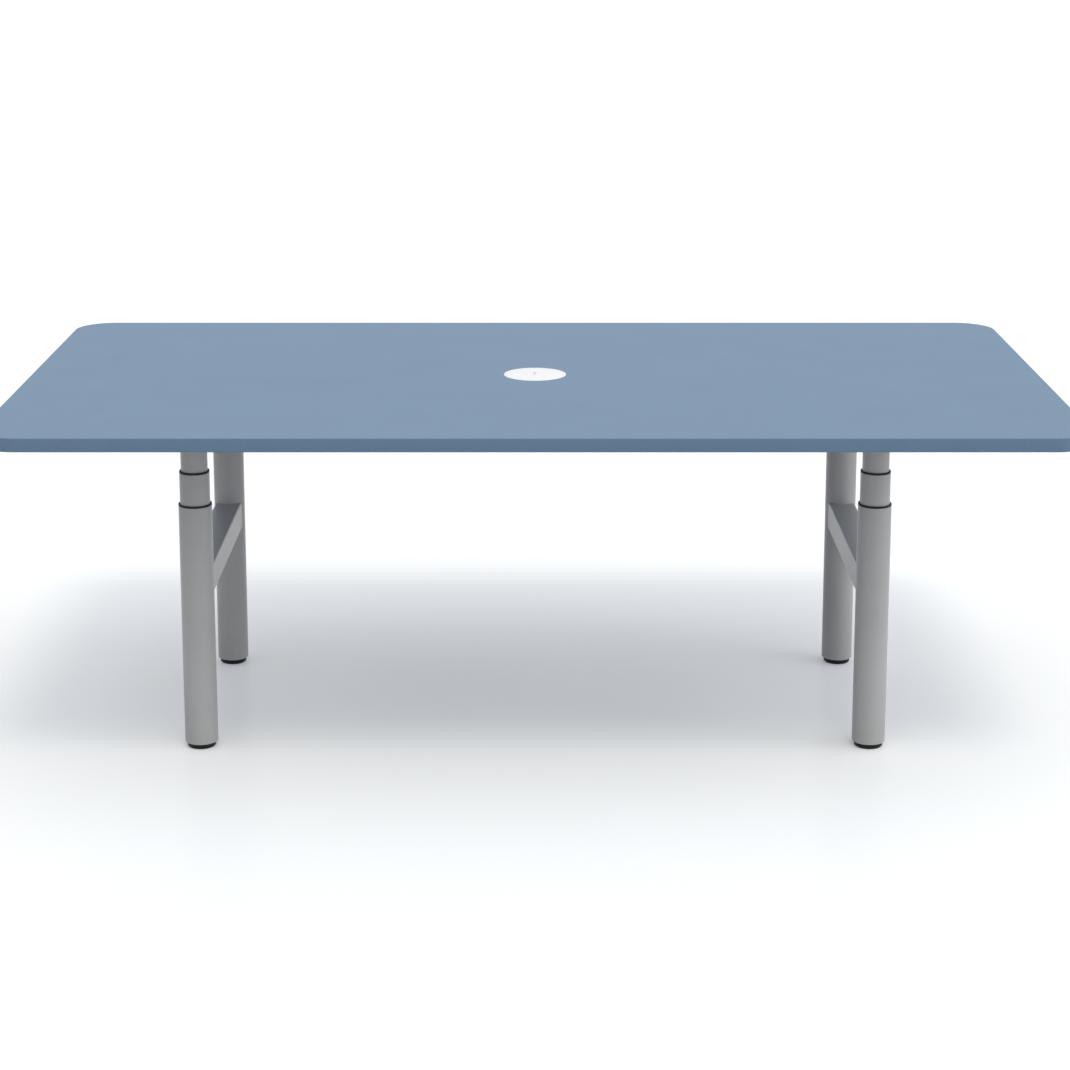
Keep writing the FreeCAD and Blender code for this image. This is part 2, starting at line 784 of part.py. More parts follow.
# Frame: a folded channel across each end of the board and two long beams between them.
def support_rail(side):
    """Folded channel open downwards, its walls tapered towards both tips."""
    body = new_body("support_rail_" + side)
    half = "Sizes.rail_width / 2"
    inside = "(%s - Sizes.rail_wall)" % half
    half_length = "Sizes.rail_length / 2"
    section = sketch_on(body, "XZ_Plane", z="-" + half_length)
    outline(section, [
        ("-" + half, "Places.rail_bottom"),
        ("-" + inside, "Places.rail_bottom"),
        ("-" + inside, "Places.rail_ceiling"),
        (inside, "Places.rail_ceiling"),
        (inside, "Places.rail_bottom"),
        (half, "Places.rail_bottom"),
        (half, "Places.underside"),
        ("-" + half, "Places.underside"),
    ])
    channel = pad(body, section, "Sizes.rail_length")
    folds = is_lengthwise(value(inside), value("Places.rail_ceiling"))
    folded = fillet(body, channel, "Sizes.rail_bend", folds)
    folds = is_lengthwise(value(half), value("Places.underside"))
    fillet(body, folded, "Sizes.rail_bend + Sizes.rail_wall", folds)
    taper = sketch_on(body, "YZ_Plane", z=half)
    for sign in "-+":
        outline(taper, [
            (sign + half_length, "Places.rail_bottom"),
            (sign + half_length, "Places.underside - Sizes.rail_tip"),
            ("%s(%s - Sizes.rail_taper)" % (sign, half_length), "Places.rail_bottom"),
        ])
    pocket(body, taper, "Sizes.rail_width")
    bolt_holes = sketch_on(body, "YZ_Plane", z=half)
    for sign in "-+":
        for step in "-+":
            circle(
                bolt_holes, "Sizes.bolt_diameter + 2 * Sizes.bolt_clearance",
                "%s(Places.beam_y %s Places.bolt_offset)" % (sign, step), "Places.bolt_level",
            )
    pocket(body, bolt_holes, "Sizes.rail_width")
    screw_holes = sketch_on(body, "XY_Plane", z="Places.underside")
    for sign in "-+":
        circle(screw_holes, "Sizes.screw_diameter", "0", sign + "Places.rail_screw_y")
        for sign_x in "-+":
            for step in "-+":
                circle(
                    screw_holes, "Sizes.screw_diameter", sign_x + "Places.plate_screw_x",
                    "%s(Places.leg_y %s Places.plate_screw_y)" % (sign, step),
                )
    pocket(body, screw_holes, "Sizes.rail_wall")
    place(body, x="%d * Places.leg_x" % SIDES[side])


def long_beam(side):
    """Rectangular tube with a bolted plate welded across each end."""
    body = new_body("long_beam_" + side)
    start = "-Places.beam_span / 2"
    section = sketch_on(body, "YZ_Plane", z=start + " + Sizes.end_plate_thickness")
    rounded_rectangle(
        section, "Sizes.beam_width", "Sizes.beam_height", "Sizes.beam_round",
        y="Places.bolt_level",
    )
    rounded_rectangle(
        section, "Sizes.beam_width - 2 * Sizes.beam_wall",
        "Sizes.beam_height - 2 * Sizes.beam_wall", "(Sizes.beam_round - Sizes.beam_wall)",
        y="Places.bolt_level",
    )
    pad(body, section, "Places.beam_span - 2 * Sizes.end_plate_thickness")
    for offset in (start, "Places.beam_span / 2 - Sizes.end_plate_thickness"):
        plate = sketch_on(body, "YZ_Plane", z=offset)
        rounded_rectangle(
            plate, "Sizes.end_plate_width", "Sizes.beam_height", "Sizes.end_plate_round",
            y="Places.bolt_level",
        )
        pad(body, plate, "Sizes.end_plate_thickness")
    holes = sketch_on(body, "YZ_Plane", z="Places.beam_span / 2")
    for sign in "-+":
        circle(
            holes, "Sizes.bolt_diameter + 2 * Sizes.bolt_clearance",
            sign + "Places.bolt_offset", "Places.bolt_level",
        )
    pocket(body, holes, "Places.beam_span")
    place(body, y="%d * Places.beam_y" % LONG_SIDES[side])


def frame_bolts():
    """Hexagon bolts with their nuts, which clamp the beams' end plates to the rails."""
    body = new_body("frame_bolts")
    plate_face = "Places.beam_span / 2 - Sizes.end_plate_thickness"
    nut_face = "Places.beam_span / 2 + Sizes.rail_wall"
    bolts = [("Places.beam_y %s Places.bolt_offset" % sign, "Places.bolt_level") for sign in "-+"]
    head = sketch_on(body, "YZ_Plane", z=plate_face + " - Sizes.bolt_head_height")
    shank = sketch_on(body, "YZ_Plane", z=plate_face)
    nut = sketch_on(body, "YZ_Plane", z=nut_face)
    for y, z in bolts:
        hexagon(head, "Sizes.bolt_flats", y, z)
        circle(shank, "Sizes.bolt_diameter", y, z)
        hexagon(nut, "Sizes.bolt_flats", y, z)
    features = [
        pad(body, head, "Sizes.bolt_head_height"),
        pad(body, shank, "Sizes.end_plate_thickness + Sizes.rail_wall"),
        pad(body, nut, "Sizes.bolt_nut_height"),
    ]
    mirror_to_all_corners(body, features)


def screw_pads(body, seat, points):
    """Screws with their heads under one level: flat heads first, then shanks."""
    heads = sketch_on(body, "XY_Plane", z="%s - Sizes.screw_head_height" % seat)
    shanks = sketch_on(body, "XY_Plane", z=seat)
    for x, y in points:
        circle(heads, "Sizes.screw_head_diameter", x, y)
        circle(shanks, "Sizes.screw_diameter", x, y)
    return [pad(body, heads, "Sizes.screw_head_height"), pad(body, shanks, "Sizes.screw_length")]


def tabletop_screws():
    body = new_body("tabletop_screws")
    features = []
    for seat, points in screw_places().items():
        features += screw_pads(body, seat, points)
    mirror_to_all_corners(body, features)
    for seat, points in single_screw_places().items():
        screw_pads(body, seat, points)


def crossbar(side):
    """Square tube between the front and rear column, coped to both outer tubes."""
    body = new_body("crossbar_" + side)
    level = "Sizes.crossbar_bottom + Sizes.crossbar_size / 2"
    section = sketch_on(body, "XZ_Plane", z="-Places.leg_y")
    rounded_rectangle(
        section, "Sizes.crossbar_size", "Sizes.crossbar_size", "Sizes.crossbar_round", y=level,
    )
    rectangle(
        section, "Sizes.crossbar_size - 2 * Sizes.crossbar_wall",
        "Sizes.crossbar_size - 2 * Sizes.crossbar_wall", y=level,
    )
    pad(body, section, "Sizes.leg_spacing_y")
    copes = sketch_on(body, "XY_Plane", z="Sizes.crossbar_bottom + Sizes.crossbar_size")
    for sign in "-+":
        circle(copes, "Sizes.outer_diameter", "0", sign + "Places.leg_y")
    pocket(body, copes, "Sizes.crossbar_size")
    place(body, x="%d * Places.leg_x" % SIDES[side])


# Control: a box between the beams and a handset with two buttons under the rear edge.
def control_box():
    """Flat case with a screw lug at each end and a bay for the plugs in one end."""
    body = new_body("control_box")
    bottom = "Places.underside - Sizes.box_height"
    case = sketch_on(body, "XY_Plane", z=bottom)
    rounded_rectangle(case, "Sizes.box_length", "Sizes.box_width", "Sizes.box_corner_radius")
    block = pad(body, case, "Sizes.box_height")
    fillet(body, block, "Sizes.box_edge_round", is_level(value(bottom)))
    lugs = sketch_on(body, "XY_Plane", z="Places.underside - Sizes.lug_thickness")
    rectangle(lugs, "Sizes.box_length + 2 * Sizes.lug_length", "Sizes.lug_width")
    pad(body, lugs, "Sizes.lug_thickness")
    holes = sketch_on(body, "XY_Plane", z="Places.underside")
    for sign in "-+":
        circle(holes, "Sizes.screw_diameter", sign + "Places.lug_screw_reach", "0")
    pocket(body, holes, "Sizes.lug_thickness")
    bay = sketch_on(body, "YZ_Plane", z="Sizes.box_length / 2")
    rectangle(bay, "Sizes.socket_bay_width", "Sizes.socket_bay_height", y="Places.socket_bay_level")
    pocket(body, bay, "Sizes.socket_bay_depth")
    place(body, x="Sizes.box_x")


def handset_body():
    """Wedge under the board's rear edge, with pockets for the buttons in its face."""
    body = new_body("handset_body")
    half = "Sizes.handset_width / 2"
    section = sketch_on(body, "YZ_Plane", z="-" + half)
    outline(section, [
        ("Places.handset_rear", "Places.underside - Sizes.handset_rear_height"),
        ("Places.handset_front", "Places.handset_floor"),
        ("Places.handset_front", "Places.underside"),
        ("Places.handset_rear", "Places.underside"),
    ])
    wedge = pad(body, section, "Sizes.handset_width")
    front = value("Places.handset_front")
    ends = value(half)

    def front_corner(edge):
        box = edge.BoundBox
        upright = abs(abs(box.XMin) - ends) < TOLERANCE and box.XLength < TOLERANCE
        return upright and abs(box.YMin - front) < TOLERANCE and box.YLength < TOLERANCE

    fillet(body, wedge, "Sizes.handset_round", front_corner)
    pockets = sketch_on(body, "XZ_Plane", z="-Places.handset_front")
    for sign in "-+":
        rounded_rectangle(
            pockets, "Sizes.button_width + 2 * Sizes.button_gap",
            "Sizes.button_height + 2 * Sizes.button_gap",
            "(Sizes.button_round + Sizes.button_gap)",
            x=sign + "Sizes.button_spacing / 2", y="Places.button_level",
        )
    pocket(body, pockets, "Places.button_pocket", along=True)
    wells = sketch_on(body, "XY_Plane", z="Places.handset_screw_seat")
    holes = sketch_on(body, "XY_Plane", z="Places.underside")
    for sign in "-+":
        x = sign + "Places.handset_screw_x"
        circle(
            wells, "Sizes.screw_head_diameter + 2 * Sizes.handset_well_gap",
            x, "Places.handset_screw_y",
        )
        circle(holes, "Sizes.screw_diameter", x, "Places.handset_screw_y")
    pocket(body, wells, "Sizes.handset_height")
    pocket(body, holes, "Sizes.handset_screw_floor")
    place(body, x="Sizes.handset_x")


def button(name, sign):
    """Button of the handset, standing a little proud of its face."""
    body = new_body(name)
    face = sketch_on(body, "XZ_Plane", z="-(Places.handset_front + Sizes.button_proud)")
    rounded_rectangle(
        face, "Sizes.button_width", "Sizes.button_height", "Sizes.button_round",
        x=sign + "Sizes.button_spacing / 2", y="Places.button_level",
    )
    pad(body, face, "Sizes.button_proud + Sizes.button_depth")
    place(body, x="Sizes.handset_x")


tabletop()
edge_band()
cable_port()
for corner in CORNERS:
    column_tubes(corner)
    foot(corner)
    middle_drive_pipe(corner)
    spindles(corner)
    column_head(corner)
base_drive_pipes()
inner_end_bushes()
gear_motors()
for side in SIDES:
    support_rail(side)
    crossbar(side)
for side in LONG_SIDES:
    long_beam(side)
frame_bolts()
tabletop_screws()
control_box()
handset_body()
button("up_button", "-")
button("down_button", "+")

doc.recompute()
failed = [item.Label for item in doc.Objects if {"Invalid", "Error"} & set(item.State)]
for part in sub_parts:
    if part.Shape.isNull() or not part.Shape.isValid() or not part.Shape.Solids:
        failed.append(part.Label)
if failed:
    raise RuntimeError("failed: " + ", ".join(failed))

os.makedirs("parts", exist_ok=True)
for part in sub_parts:
    part.Shape.exportStep("parts/%s.step" % part.Label)
    print("%-34s %d solids, %.1f cm3" % (part.Label, len(part.Shape.Solids), part.Shape.Volume / 1000))
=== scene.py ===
# %% [markdown]
# # A height-adjustable meeting table
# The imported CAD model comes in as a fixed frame, in metres: 60 nodes on the bodies of the
# lifting mechanism. This lesson dresses it. The CAD meshes could be shown as they are, but
# their edges are sharp and their rounds are coarse. So every piece that shows is made again as
# a smooth surface computed with numpy, in the place that its CAD node holds, and rides on the
# same body. The drive parts inside the columns keep their CAD shape and get a finish.

# %% Load the frame
import json
import math

import bpy
import numpy as np
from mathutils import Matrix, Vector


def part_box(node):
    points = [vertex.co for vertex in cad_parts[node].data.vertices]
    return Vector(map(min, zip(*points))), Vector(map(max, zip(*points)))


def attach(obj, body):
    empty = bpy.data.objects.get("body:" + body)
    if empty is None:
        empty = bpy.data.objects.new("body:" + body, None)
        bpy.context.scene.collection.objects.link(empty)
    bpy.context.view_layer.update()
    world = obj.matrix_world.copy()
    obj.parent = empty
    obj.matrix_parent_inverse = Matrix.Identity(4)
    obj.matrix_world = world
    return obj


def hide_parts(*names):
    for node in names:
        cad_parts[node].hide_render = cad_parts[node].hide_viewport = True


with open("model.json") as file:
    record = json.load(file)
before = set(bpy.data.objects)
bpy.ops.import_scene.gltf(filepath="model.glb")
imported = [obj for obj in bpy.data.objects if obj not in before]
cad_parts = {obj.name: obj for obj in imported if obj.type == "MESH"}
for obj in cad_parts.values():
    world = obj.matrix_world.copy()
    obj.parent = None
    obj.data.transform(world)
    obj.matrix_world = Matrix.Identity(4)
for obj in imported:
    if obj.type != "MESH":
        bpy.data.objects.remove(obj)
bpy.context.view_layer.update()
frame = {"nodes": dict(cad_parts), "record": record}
nodes = frame["nodes"]
bodies = frame["record"]["behaviour"]["bodies"]
body_with = {node: body for body, members in bodies.items() for node in members}
print("nodes:", len(nodes), "bodies:", len(bodies))

# %% [markdown]
# ## Grids of points
# Boards, tubes and bolts are closed skins. They could be built from Blender's primitives with
# modifiers on them. A grid of points, a function of two parameters, says the same in one
# formula and gives every round its true radius, so it is used throughout. Each cell of the
# grid becomes a face with four corners.


# %% Cells of a grid
def cells(rows, columns, wrap_rows):
    """Four point numbers for each cell of a grid whose columns close on themselves."""
    row, column = np.meshgrid(
        np.arange(rows if wrap_rows else rows - 1), np.arange(columns), indexing="ij"
    )
    below = (row + 1) % rows
    beside = (column + 1) % columns
    corners = (
        row * columns + column,
        row * columns + beside,
        below * columns + beside,
        below * columns + column,
    )
    return np.stack(corners, axis=-1).reshape(-1, 4)


print("2 rows of 96 points make", len(cells(2, 96, False)), "cells")

# %% [markdown]
# ## Closed shells
# A real piece has no open edge, so neither has its mesh. Blender could recalculate the normals
# afterwards. Here rows either close on themselves, as round the wall of a tube, or end in a
# flat cap, as on a bolt, and the sign of the enclosed volume tells which way the faces look.
# So every shell faces outwards from the start.

# %% Closed shells
MM = 0.001


def volume_sign(points, quads, caps):
    """Sign of the sum of a . (b x c) over the shell's triangles, six times its volume."""
    fans = [np.stack([np.full(len(c) - 2, c[0]), c[1:-1], c[2:]], axis=-1) for c in caps]
    triangles = np.concatenate([quads[:, [0, 1, 2]], quads[:, [0, 2, 3]]] + fans)
    a, b, c = (points[triangles[:, k]] for k in range(3))
    return np.sign(np.einsum("ij,ij->", a, np.cross(b, c)))


def shell(grid, ring=True):
    """Closed shell in metres from rows of closed loops in millimetres: a ring joins the last
    row to the first, and otherwise the first and last rows are capped."""
    rows, columns = grid.shape[:2]
    points = grid.reshape(-1, 3) * MM
    quads = cells(rows, columns, ring)
    rim = np.arange(columns)
    caps = [] if ring else [rim[::-1], (rows - 1) * columns + rim]
    if volume_sign(points, quads, caps) < 0:
        quads = quads[:, ::-1]
        caps = [cap[::-1] for cap in caps]
    return points, quads, caps


print("pieces are drawn in millimetres, and 1 mm is", MM, "m")

# %% [markdown]
# ## From shells to pieces
# A piece is what comes off in the hand: one object of one or more closed shells. It could be
# parented to an empty that moves it, but the frame already has the moving bodies. So each
# piece is told which body it rides on, which finish it has and which CAD nodes it stands in
# for. Shading is smooth, except over the edges that turn by more than a set angle.

# %% Piece helper
SHARP_DEGREES = 38.0


def make_piece(name, shells, coat, replaced=(), body=None):
    """One object from closed shells, on the given body or on that of the nodes it replaces."""
    faces = []
    start = 0
    for points, quads, caps in shells:
        faces += (quads + start).tolist() + [(cap + start).tolist() for cap in caps]
        start += len(points)
    mesh = bpy.data.meshes.new(name)
    mesh.from_pydata(np.concatenate([part[0] for part in shells]).tolist(), [], faces)
    mesh.shade_smooth()
    mesh.set_sharp_from_angle(angle=math.radians(SHARP_DEGREES))
    mesh.materials.append(coat)
    piece = bpy.data.objects.new(name, mesh)
    bpy.context.scene.collection.objects.link(piece)
    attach(piece, body or body_with[replaced[0]])
    if replaced:
        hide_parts(*replaced)
    print("%-26s %6d points %6d faces" % (name, len(mesh.vertices), len(mesh.polygons)))


print("edges that turn by more than %.0f degrees stay sharp" % SHARP_DEGREES)

# %% [markdown]
# ## Rounded corners
# Nothing made in a factory has a knife edge: tube ends are deburred, plastic has mould radii
# and sheet metal bends over a tool. A Bevel modifier could round all edges alike. Here every
# corner of a profile becomes an arc of its own radius that touches both of its sides, because
# the real roundings differ from corner to corner.

# %% Arcs at corners
ARC_STEPS = 4


def arcs(corners, radii, steps=ARC_STEPS):
    """Arc at each corner of a closed outline, from radius / tan(half angle) before the corner
    to as far after it; the points are the spherical blend of the two end directions."""
    corners = np.asarray(corners, float)
    radii = np.broadcast_to(np.asarray(radii, float), len(corners))[:, None]
    before = np.roll(corners, 1, axis=0) - corners
    after = np.roll(corners, -1, axis=0) - corners
    before = before / np.linalg.norm(before, axis=1, keepdims=True)
    after = after / np.linalg.norm(after, axis=1, keepdims=True)
    half = np.arccos(np.clip((before * after).sum(axis=1, keepdims=True), -1, 1)) / 2
    middle = before + after
    middle = middle / np.linalg.norm(middle, axis=1, keepdims=True)
    centre = corners + middle * radii / np.sin(half)
    first = corners + before * radii / np.tan(half) - centre
    last = corners + after * radii / np.tan(half) - centre
    angle = (math.pi - 2 * half)[:, None, :]
    turn = np.linspace(0, 1, steps + 1)[None, :, None]
    blend = np.sin((1 - turn) * angle) * first[:, None] + np.sin(turn * angle) * last[:, None]
    return centre[:, None] + blend / np.sin(angle)


print("points round one corner:", ARC_STEPS + 1)

# %% [markdown]
# ## Profiles and turned pieces
# Tubes, rings, feet and screws are round, as if from a lathe. A Screw modifier could spin an
# edge about the axis. A formula does the same here, and the profile stays a table that reads
# like a workshop drawing: one row per corner, with its two places and its rounding.

# %% Profiles and turning
ROUND_STEPS = 96
TURN = 2 * math.pi


def closed_profile(table, steps=ARC_STEPS):
    """Closed outline from rows of (across, along, rounding), in millimetres."""
    table = np.asarray(table, float)
    return arcs(table[:, :2], table[:, 2], steps).reshape(-1, 2)


def open_profile(table, steps=ARC_STEPS):
    """Open profile from such rows, rounded at every corner between its two ends."""
    table = np.asarray(table, float)
    middle = arcs(table[:, :2], table[:, 2], steps)[1:-1].reshape(-1, 2)
    return np.concatenate([table[:1, :2], middle, table[-1:, :2]])


def turned(profile, centre=(0.0, 0.0), segments=ROUND_STEPS):
    """Surface of revolution: (r, z) at angle a stands at (cx + r cos a, cy + r sin a, z)."""
    angle = np.linspace(0, TURN, segments, endpoint=False)
    radius = profile[:, 0:1]
    x = centre[0] + radius * np.cos(angle)
    y = centre[1] + radius * np.sin(angle)
    z = np.broadcast_to(profile[:, 1:2], x.shape)
    return np.stack([x, y, z], axis=-1)


print("points round a tube:", ROUND_STEPS)

# %% [markdown]
# ## Outlines
# Boards, bars, plates and keys all start from a rectangle with round corners. A bevelled cube
# would give the plates, but not two outlines that match point for point, which a tube's skin
# and bore need. So outlines are computed with fixed steps.


# %% Outlines
def box_corners(width, depth):
    """Corners of a rectangle about the origin, anticlockwise."""
    half = np.array([width, depth]) / 2
    return half * np.array([[-1, -1], [1, -1], [1, 1], [-1, 1]])


def round_box(width, depth, radius):
    """Rectangle about the origin with an arc of one radius at each corner."""
    return arcs(box_corners(width, depth), radius).reshape(-1, 2)


def dense_outline(width, depth, radius, corner_steps, side_steps):
    """Rounded rectangle about the origin with points along its straight sides too. Outlines
    of the same steps match point for point, so rows of them make a surface."""
    bends = arcs(box_corners(width, depth), radius, corner_steps)
    share = np.linspace(0, 1, side_steps + 2)[1:-1][None, :, None]
    following = np.roll(bends, -1, axis=0)[:, :1]
    sides = bends[:, -1:] * (1 - share) + following * share
    return np.concatenate([bends, sides], axis=1).reshape(-1, 2)


def at_level(outline, level):
    """Outline lifted to one level, as a row of points."""
    return np.column_stack([outline, np.full(len(outline), level)])


print("points on a plate's outline:", len(round_box(2.0, 1.0, 0.1)))

# %% [markdown]
# ## Plates
# End plates, flanges, lugs and keys are flat pieces with eased rims. A cube with a Bevel
# modifier is the usual way. A stack of outlines, drawn in over a quarter turn at both faces,
# looks the same and lets corners and rims have different radii.

# %% Plates
RIM_STEPS = 5


def eased_rim(ease):
    """Inset ease (1 - sin t) and depth ease (1 - cos t) of a rim's rows over a quarter turn t."""
    turn = np.linspace(0, math.pi / 2, RIM_STEPS)
    return ease * (1 - np.sin(turn)), ease * (1 - np.cos(turn))


def block(low, high, radius, ease, axes=(0, 1, 2)):
    """Plate between two corners: rounded rectangles stacked through its thickness, drawn in
    over both rims. Axes names the two axes of the outline and the one of the thickness."""
    low = np.asarray(low, float)[list(axes)]
    high = np.asarray(high, float)[list(axes)]
    inset, rise = eased_rim(ease)
    insets = np.concatenate([inset, inset[::-1]])
    levels = np.concatenate([low[2] + rise, high[2] - rise[::-1]])
    width, depth = (high - low)[:2]
    grid = np.empty((len(levels), 4 * (ARC_STEPS + 1), 3))
    for row, (inward, level) in enumerate(zip(insets, levels)):
        outline = round_box(width - 2 * inward, depth - 2 * inward, max(radius - inward, ease / 2))
        grid[row, :, axes[0]] = outline[:, 0] + (low + high)[0] / 2
        grid[row, :, axes[1]] = outline[:, 1] + (low + high)[1] / 2
        grid[row, :, axes[2]] = level
    return shell(grid, ring=False)


print("rows over the two rims of a plate:", 2 * RIM_STEPS)

# %% [markdown]
# ## Nodes in words
# A finish is a tree of shader nodes. They could be wired by hand in the shader editor, but then
# every finish would be a tree of its own to keep in step. Short helpers make a node with its
# values and spread a noise over a range, so the trees below can be read like a recipe.

# %% Node helpers
NOISE_RANGE = (0.3, 0.7)


def wire(tree, kind, values=None, **settings):
    """New node with its settings, and with values or links on its input sockets."""
    node = tree.nodes.new(kind)
    for key, value in settings.items():
        setattr(node, key, value)
    for key, value in (values or {}).items():
        if isinstance(value, bpy.types.NodeSocket):
            tree.links.new(value, node.inputs[key])
        else:
            node.inputs[key].default_value = value
    return node


def spread_over(tree, noise, middle, width):
    """Level that runs from middle - width to middle + width over the noise's usual range."""
    return wire(tree, "ShaderNodeMapRange", {
        "Value": noise,
        "From Min": NOISE_RANGE[0],
        "From Max": NOISE_RANGE[1],
        "To Min": middle - width,
        "To Max": middle + width,
    }).outputs[0]


def noise_at(tree, place, scale, detail):
    """Noise of so many waves per metre at a place."""
    return wire(tree, "ShaderNodeTexNoise", {
        "Vector": place,
        "Scale": scale,
        "Detail": detail,
    }).outputs[0]


print("noise is used from %.1f to %.1f" % NOISE_RANGE)

# %% [markdown]
# ## How a finish is built
# Scanned pictures of paint and laminate would tie the grain to a picture's edges. All finishes
# are worked out from the object's own coordinates instead, in metres, so the grain keeps its
# real size on every piece. A broad noise shifts the colour a little. A fine one flecks it,
# varies the gloss and, with a pattern of cells, lifts the surface: the orange peel of a powder
# coat, the grain of moulded plastic or the pearl texture pressed into a laminate.

# %% Finish helper
PEARL_SHARE = 0.6
MOTTLE_DETAIL = 4.0
GRAIN_DETAIL = 3.0


def finish(name, colour, roughness, grain, depth, mottle=12.0, shift=0.03, fleck=0.05,
           gloss=0.05, stretch=(1.0, 1.0, 1.0), **shader):
    """Principled finish. Grain and mottle are noise scales per metre and depth is the height of
    the grain in metres. The colour varies by shift over the mottle and by fleck over the
    grain, and the roughness by gloss over the grain."""
    material = bpy.data.materials.new(name)
    material.use_nodes = True
    tree = material.node_tree
    surface = tree.nodes["Principled BSDF"]
    place = wire(tree, "ShaderNodeTexCoord").outputs["Object"]
    scaled = wire(tree, "ShaderNodeMapping", {"Vector": place, "Scale": stretch}).outputs[0]
    broad = noise_at(tree, place, mottle, MOTTLE_DETAIL)
    fine = noise_at(tree, scaled, grain, GRAIN_DETAIL)
    pearl = wire(tree, "ShaderNodeTexVoronoi", {
        "Vector": scaled,
        "Scale": grain * PEARL_SHARE,
    }).outputs["Distance"]
    tint = wire(tree, "ShaderNodeValToRGB", {"Fac": broad})
    for element, position, level in zip(tint.color_ramp.elements, NOISE_RANGE, (-1, 1)):
        element.position = position
        element.color = (*(np.array(colour) * (1 + level * shift)), 1.0)
    flecked = wire(tree, "ShaderNodeMix", data_type="RGBA", blend_type="MULTIPLY")
    flecked.inputs["Factor"].default_value = 1.0
    tree.links.new(tint.outputs["Color"], flecked.inputs["A"])
    tree.links.new(spread_over(tree, fine, 1.0, fleck), flecked.inputs["B"])
    height = wire(tree, "ShaderNodeMath", {0: fine, 1: pearl}, operation="ADD").outputs[0]
    relief = wire(tree, "ShaderNodeBump", {"Height": height, "Distance": depth})
    tree.links.new(flecked.outputs["Result"], surface.inputs["Base Color"])
    tree.links.new(spread_over(tree, fine, roughness, gloss), surface.inputs["Roughness"])
    tree.links.new(relief.outputs[0], surface.inputs["Normal"])
    for socket, value in shader.items():
        surface.inputs[socket.replace("_", " ")].default_value = value
    return material


print("the cells' scale is %.1f of the grain's" % PEARL_SHARE)

# %% [markdown]
# ## Laminate, edging and powder coat
# The board's laminate is matt, with a pearl grain of one to two millimetres. The strip on its
# edge is drawn plastic, so its grain is stretched along the strip; its blue is darker than the
# laminate's, which paints in the shade that the board's side faces get. Columns and frame have
# a grey powder coat with a fine orange peel. One plain shader each would give the colours; the
# grain is added because these broad surfaces fill most of the picture.

# %% Board and paint
BLUE = (0.203, 0.294, 0.408)
# The edging's blue is darker than the board's blue: the shade on the board's side faces is painted
# into it.
SHADED_EDGE_BLUE = (0.123, 0.210, 0.326)
COLUMN_GREY = (0.538, 0.529, 0.524)
FRAME_GREY = (0.437, 0.431, 0.429)
LAMINATE = finish("laminate_blue", BLUE, roughness=0.54, grain=700.0, depth=0.00010, mottle=7.0,
                  shift=0.015, fleck=0.05, Specular_IOR_Level=0.10)
EDGING_WITH_PAINTED_SHADE = finish("edging_blue_painted_shade", SHADED_EDGE_BLUE, roughness=0.42, grain=700.0, depth=0.00006,
                mottle=20.0, shift=0.02, stretch=(0.15, 0.15, 1.0))
COLUMN = finish("powder_coat_grey", COLUMN_GREY, roughness=0.40, grain=900.0, depth=0.00012,
                mottle=9.0, shift=0.02, fleck=0.08)
FRAME = finish("powder_coat_frame", FRAME_GREY, roughness=0.46, grain=800.0, depth=0.00014,
               mottle=9.0, shift=0.02, fleck=0.08)
print("board and paint:", [coat.name for coat in (LAMINATE, EDGING_WITH_PAINTED_SHADE, COLUMN, FRAME)])

# %% [markdown]
# ## Plastics
# Rings, feet and cases are moulded in black, the cable port in white, and the slide bushes in
# bare plastic. Mould cavities are spark-eroded, which leaves a fine even grain. It could be
# displaced geometry, but it is far finer than the mesh, so a bump is enough.

# %% Plastics
BLACK = finish("black_plastic", (0.014, 0.014, 0.015), roughness=0.48, grain=1400.0,
               depth=0.00008, shift=0.10, fleck=0.25, Specular_IOR_Level=0.2)
WHITE = finish("white_plastic", (0.93, 0.93, 0.925), roughness=0.42, grain=900.0, depth=0.00005,
               shift=0.008, fleck=0.012)
SLIDE = finish("slide_plastic", (0.62, 0.60, 0.55), roughness=0.50, grain=900.0, depth=0.00005,
               shift=0.03)
DARK = finish("dark_plastic", (0.030, 0.031, 0.033), roughness=0.46, grain=900.0, depth=0.00012,
              shift=0.06, fleck=0.20)
BUTTON = finish("button_plastic", (0.16, 0.16, 0.165), roughness=0.44, grain=1400.0,
                depth=0.00005, shift=0.04)
PRINT = finish("button_print", (0.80, 0.80, 0.80), roughness=0.50, grain=1400.0, depth=0.00002,
               shift=0.02)
print("plastics:", [coat.name for coat in (BLACK, WHITE, SLIDE, DARK, BUTTON, PRINT)])

# %% [markdown]
# ## Metals
# The knob is cut from drawn bar, with its grain along the axis, and the lifting screws are
# rolled, with theirs round it. The column heads are cast, with a coarse skin, and the wood
# screws are zinc plated, with a crystal mottle. Each could have a picture of its own; one
# metallic shader does for all, with the grain stretched and scaled to suit.

# %% Metals
ALUMINIUM = finish("knob_aluminium", (0.78, 0.785, 0.79), roughness=0.28, grain=2600.0,
                   depth=0.00002, shift=0.02, stretch=(1.0, 1.0, 0.1), Metallic=1.0)
CAST = finish("cast_aluminium", (0.56, 0.565, 0.57), roughness=0.48, grain=420.0, depth=0.00020,
              mottle=30.0, shift=0.06, fleck=0.08, Metallic=1.0)
STEEL = finish("screw_steel", (0.50, 0.50, 0.51), roughness=0.26, grain=1600.0, depth=0.00003,
               shift=0.05, stretch=(0.2, 0.2, 1.0), Metallic=1.0)
MOTOR = finish("motor_steel", (0.42, 0.42, 0.43), roughness=0.34, grain=900.0, depth=0.00004,
               shift=0.05, Metallic=1.0)
ZINC = finish("zinc_steel", (0.60, 0.61, 0.63), roughness=0.32, grain=700.0, depth=0.00005,
              mottle=160.0, shift=0.10, Metallic=1.0)
print("metals:", [coat.name for coat in (ALUMINIUM, CAST, STEEL, MOTOR, ZINC)])

